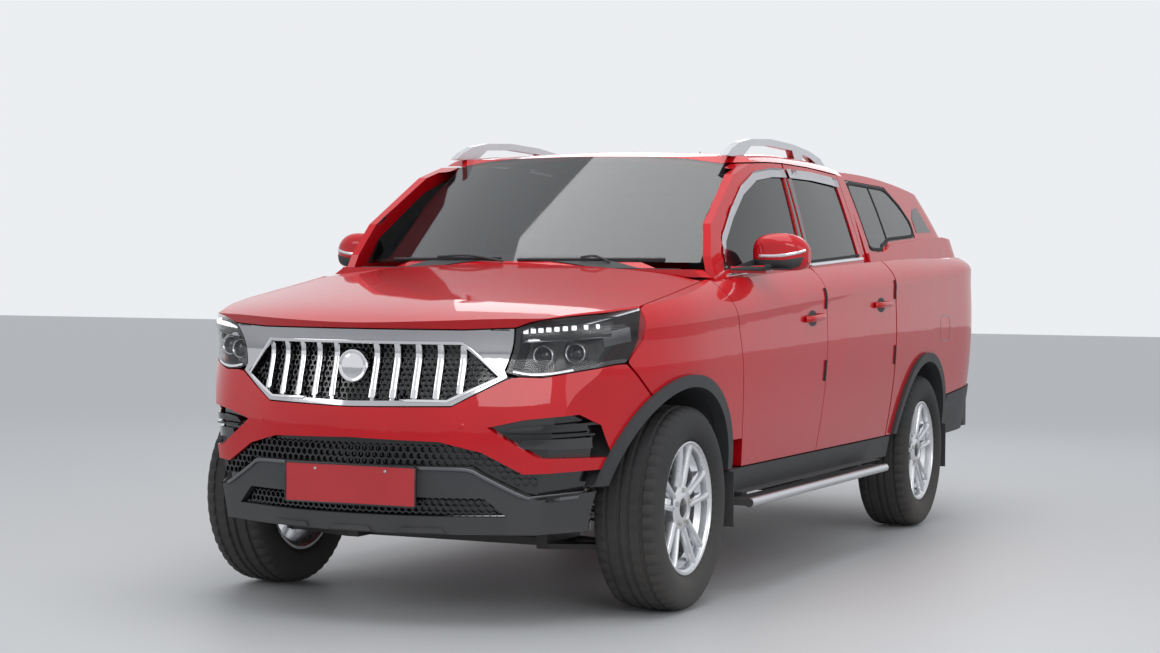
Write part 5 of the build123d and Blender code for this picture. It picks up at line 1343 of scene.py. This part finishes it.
@dataclass
class Cabin:
    """Seats and fittings inside the cab."""

    shop: Workshop

    def build(self) -> None:
        """Makes the inside of the cab."""
        self.front_seats()
        self.rear_seat()
        self.fittings()

    @staticmethod
    def pad(low: Sequence[float], high: Sequence[float], lean: float = 0.0, crown: float = 0.004,
            channels: Sequence[float] = (), along: int = 0) -> Mesh:
        """A crowned cushion with pulled-in sides and sewn channels.

        Args:
            low: lowest corner of the space it fills.
            high: highest corner.
            lean: how far its top leans back.
            crown: how far its middle stands up.
            channels: where seams cross it, as shares of its length.
            along: axis that the seams divide, 0 to 2.

        Returns:
            A closed mesh.
        """
        mesh = bmesh.new()
        bmesh.ops.create_cube(mesh, size=2)
        bmesh.ops.subdivide_edges(mesh, edges=mesh.edges, cuts=17, use_grid_fill=True)
        low, high = Vector(low), Vector(high)
        middle, half = (low + high) / 2, (high - low) / 2
        for vert in mesh.verts:
            p = vert.co
            p = p / sum(abs(value) ** SQUARENESS for value in p) ** (1 / SQUARENESS)
            sink = 0.0
            for place in channels:
                away = abs((p[along] + 1) / 2 - place) * 2 * half[along]
                sink = max(sink, 0.012 * max(0.0, 1 - away / 0.018))
            spot = p * half
            spot.z += crown * (1 - max(abs(p.x), abs(p.y)) ** 2) * (p.z > 0)
            spot -= p.normalized() * sink
            spot.y += lean * (p.z + 1) / 2
            vert.co = middle + spot
        return outwards(mesh)

    def front_seats(self) -> None:
        """Padded front seats in place of the plain solids."""
        pad = self.pad
        bolsters = ((0.155, 0.215), (0.605, 0.665))

        def cushion() -> Mesh:
            """The cushion."""
            return merged(pad((0.2, -0.755, 0.62), (0.62, -0.27, 0.71), crown=0.012, channels=(0.25, 0.75)),
                          *[pad((x0, -0.75, 0.63), (x1, -0.3, 0.722), crown=0.006) for x0, x1 in bolsters])

        def back() -> Mesh:
            """The backrest and the headrest."""
            return merged(pad((0.2, -0.395, 0.7), (0.62, -0.285, 1.225), 0.07, channels=(0.3, 0.55, 0.8), along=2),
                          *[pad((x0, -0.4, 0.72), (x1, -0.3, 1.19), 0.065) for x0, x1 in bolsters],
                          pad((0.305, -0.262, 1.245), (0.515, -0.172, 1.418), 0.008))

        def base() -> Mesh:
            """The frame under it."""
            return merged(brick((0.21, -0.7, 0.548), (0.61, -0.31, 0.63), 0.012, 3),
                          *[tube([(x, -0.235, 1.18), (x, -0.215, 1.27)], 0.006) for x in (0.36, 0.46)])

        for name, make in (("front_seat_cushion", cushion), ("front_seat_back", back)):
            for thing in self.shop.pair(name, make, Look.SEAT_CLOTH, sharp=80):
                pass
        left, _ = self.shop.pair("front_seat_base", base, Look.SEAT_EDGE, sharp=80)
        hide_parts("front_seats")

    def rear_seat(self) -> None:
        """A padded rear bench in place of the plain solid."""
        places = ((-0.685, -0.15), (-0.15, 0.15), (0.15, 0.685))
        cushion = [self.pad((x0, 0.085, 0.64), (x1, 0.545, 0.728), crown=0.01, channels=(0.5,))
                   for x0, x1 in places]
        back = [self.pad((x0, 0.45, 0.71), (x1, 0.57, 1.205), 0.06, channels=(0.4, 0.75), along=2)
                for x0, x1 in places]
        for name, parts in (("rear_seat_cushion", cushion), ("rear_seat_back", back)):
            self.shop.piece(name, merged(*parts), Look.SEAT_CLOTH, sharp=80)
        self.shop.piece("rear_seat_base", brick((-0.638, 0.132, 0.548), (0.638, 0.538, 0.655), 0.012, 3),
                        Look.SEAT_EDGE, replaces=["rear_seat"])

    def fittings(self) -> None:
        """Instrument hood, blank screen, vents and gear selector."""
        shop = self.shop
        dash = Skin(shop, Facing.FROM_TOP, "dashboard")
        dash.lay_one("instrument_hood", Look.INTERIOR, [(0.24, -1.12), (0.42, -1.1), (0.6, -1.12)], 0.12, 0.03)
        shop.piece("centre_screen", brick((-0.125, -1.012, 0.98), (0.125, -0.992, 1.115), 0.006, 3), Look.SCREEN)
        shop.pair("dash_vents", lambda: merged(*[brick((0.56, -1.009, z), (0.67, -0.993, z + 0.007), 0.002)
                                                 for z in [1.03 + 0.012 * k for k in range(5)]]), Look.GLOSS_BLACK)
        selector = lathe([(0.0, 0.045), (0.008, 0.042), (0.012, 0.012), (0.09, 0.009), (0.1, 0.02), (0.13, 0.022),
                          (0.142, 0.012), (0.144, 0.0)], dash.hit(0.0, -0.75)[0] - Vector((0, 0, 0.002)),
                         (0, -0.12, 1), 28)
        shop.piece("gear_selector", selector, Look.SEAT_EDGE)


@dataclass
class Underside:
    """Dampers, springs and the engine's top."""

    shop: Workshop

    def build(self) -> None:
        """Makes what shows from below and under the bonnet."""
        self.shop.pair("front_damper", self.front_damper, Look.STEEL)
        self.shop.pair("rear_damper", lambda: merged(
            tube([(0.5, 1.3, 0.42), (0.47, 1.16, 0.6)], 0.024, 16),
            tube([(0.47, 1.16, 0.6), (0.46, 1.11, 0.66)], 0.012, 12)), Look.CHASSIS)
        ribs = [brick((x - 0.03, -2.2, 1.008), (x + 0.03, -1.66, 1.022), 0.006)
                for x in [-0.2 + 0.1 * k for k in range(5)]]
        cap = lathe([(0.0, 0.03), (0.025, 0.03), (0.03, 0.026), (0.031, 0.0)], (0.15, -1.62, 1.008), (0, 0, 1))
        self.shop.piece("engine_cover", merged(*ribs, cap), Look.INTERIOR)

    @staticmethod
    def front_damper() -> Mesh:
        """Coil spring round a damper.

        Returns:
            The spring and the damper.
        """
        base, top = Vector((0.5, -1.78, 0.27)), Vector((0.47, -1.78, 0.53))
        ups = [Vector((cos(2 * pi * k / 14), sin(2 * pi * k / 14), 0)) for k in range(85)]
        coil = [base.lerp(top, 0.12 + 0.8 * k / 84) + up * 0.045 for k, up in enumerate(ups)]
        return merged(sweep(coil, ups, oval_section(0.006, 0.006, 8)), tube([base, top], 0.02, 16))


# ---------------------------------------------------------------- CAD nodes' finishes
SLOT_LOOKS = {look.value.slot: look for look in reversed(Look)}


def finish_nodes(shelf: MaterialShelf) -> None:
    """Gives every CAD node the material of its slot.

    Args:
        shelf: the materials.
    """
    slots = {row["node"]: row["material_slot"] for row in frame["record"]["subparts"]}
    for name, node in frame["nodes"].items():
        material = shelf.get(SLOT_LOOKS[slots[name]])
        if not node.material_slots:
            node.data.materials.append(material)
        for holder in node.material_slots:
            holder.material = material


# ---------------------------------------------------------------- studio
@dataclass(frozen=True)
class Softbox:
    """One large lamp."""

    name: str
    place: tuple[float, float, float]
    aim: tuple[float, float, float]
    width: float
    height: float
    power: float


SOFTBOXES = (
    Softbox("overhead", (0.5, -1.5, 5.2), (0, -0.6, 0), 3.2, 6.5, 150),
    Softbox("left_wall", (7.5, -2.0, 3.0), (0, -0.4, 0.9), 7.0, 2.4, 85),
    Softbox("front_left", (4.5, -8.0, 3.4), (0, -1.5, 0.8), 4.0, 2.2, 110),
    Softbox("front_right", (-5.0, -7.0, 3.2), (0, -1.8, 0.8), 3.2, 2.4, 60),
    Softbox("rear", (-2.0, 7.0, 4.0), (0, 1.0, 1.0), 5.0, 2.5, 60),
)


def aimed(place: Vector, target: Vector) -> Matrix:
    """A matrix at a place that looks at a target along -Z."""
    turn = (target - place).to_track_quat("-Z", "Y")
    return Matrix.LocRotScale(place, turn, None)


def make_studio() -> None:
    """Floor, lamps and world."""
    scene = bpy.context.scene
    mesh = bmesh.new()
    bmesh.ops.create_grid(mesh, x_segments=2, y_segments=2, size=45)
    data = bpy.data.meshes.new("studio_floor")
    mesh.to_mesh(data)
    mesh.free()
    material = bpy.data.materials.new("floor_paint")
    material.use_nodes = True
    surface = material.node_tree.nodes["Principled BSDF"].inputs
    surface["Base Color"].default_value = (0.42, 0.43, 0.44, 1)
    surface["Roughness"].default_value = 0.5
    data.materials.append(material)
    floor = bpy.data.objects.new("studio_floor", data)
    floor.location.z = -0.0008
    scene.collection.objects.link(floor)
    for box in SOFTBOXES:
        lamp = bpy.data.lights.new(box.name, "AREA")
        lamp.shape = "RECTANGLE"
        lamp.size, lamp.size_y, lamp.energy = box.width, box.height, box.power
        thing = bpy.data.objects.new(box.name, lamp)
        thing.matrix_world = aimed(Vector(box.place), Vector(box.aim))
        scene.collection.objects.link(thing)
    world = bpy.data.worlds.new("studio")
    world.use_nodes = True
    sky = world.node_tree.nodes["Background"].inputs
    sky["Color"].default_value = (0.93, 0.95, 0.98, 1)
    sky["Strength"].default_value = 0.9
    scene.world = world
    scene.view_settings.view_transform = "Standard"


def make_camera() -> None:
    """The camera at the front left of the truck."""
    yaw, pitch, roll = radians(-24.096), radians(-1.173), radians(0.566)
    ahead = Vector((sin(yaw) * cos(pitch), cos(yaw) * cos(pitch), sin(pitch)))
    right = Vector((cos(yaw), -sin(yaw), 0))
    up = right.cross(ahead)
    right, up = right * cos(roll) + up * sin(roll), up * cos(roll) - right * sin(roll)
    data = bpy.data.cameras.new("view")
    data.lens = 67.81
    data.sensor_width = 36
    data.clip_end = 200
    camera = bpy.data.objects.new("view", data)
    turn = Matrix((right, up, -ahead)).transposed().to_4x4()
    camera.matrix_world = Matrix.Translation((3.8328, -9.3051, 1.2073)) @ turn
    bpy.context.scene.collection.objects.link(camera)
    bpy.context.scene.camera = camera


def main() -> None:
    """Builds the scene round the frame."""
    logging.basicConfig(level=logging.INFO)
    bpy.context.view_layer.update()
    shelf = MaterialShelf()
    shop = Workshop(shelf)
    finish_nodes(shelf)
    make_studio()
    make_camera()
    for assembly in (Wheels(shop), Nose(shop), CabTrim(shop), BackEnd(shop), Cabin(shop), Underside(shop)):
        first = len(shop.names)
        assembly.build()
        LOG.info("%s: %s", type(assembly).__name__, ", ".join(shop.names[first:]))


if __name__ == "__main__":
    main()
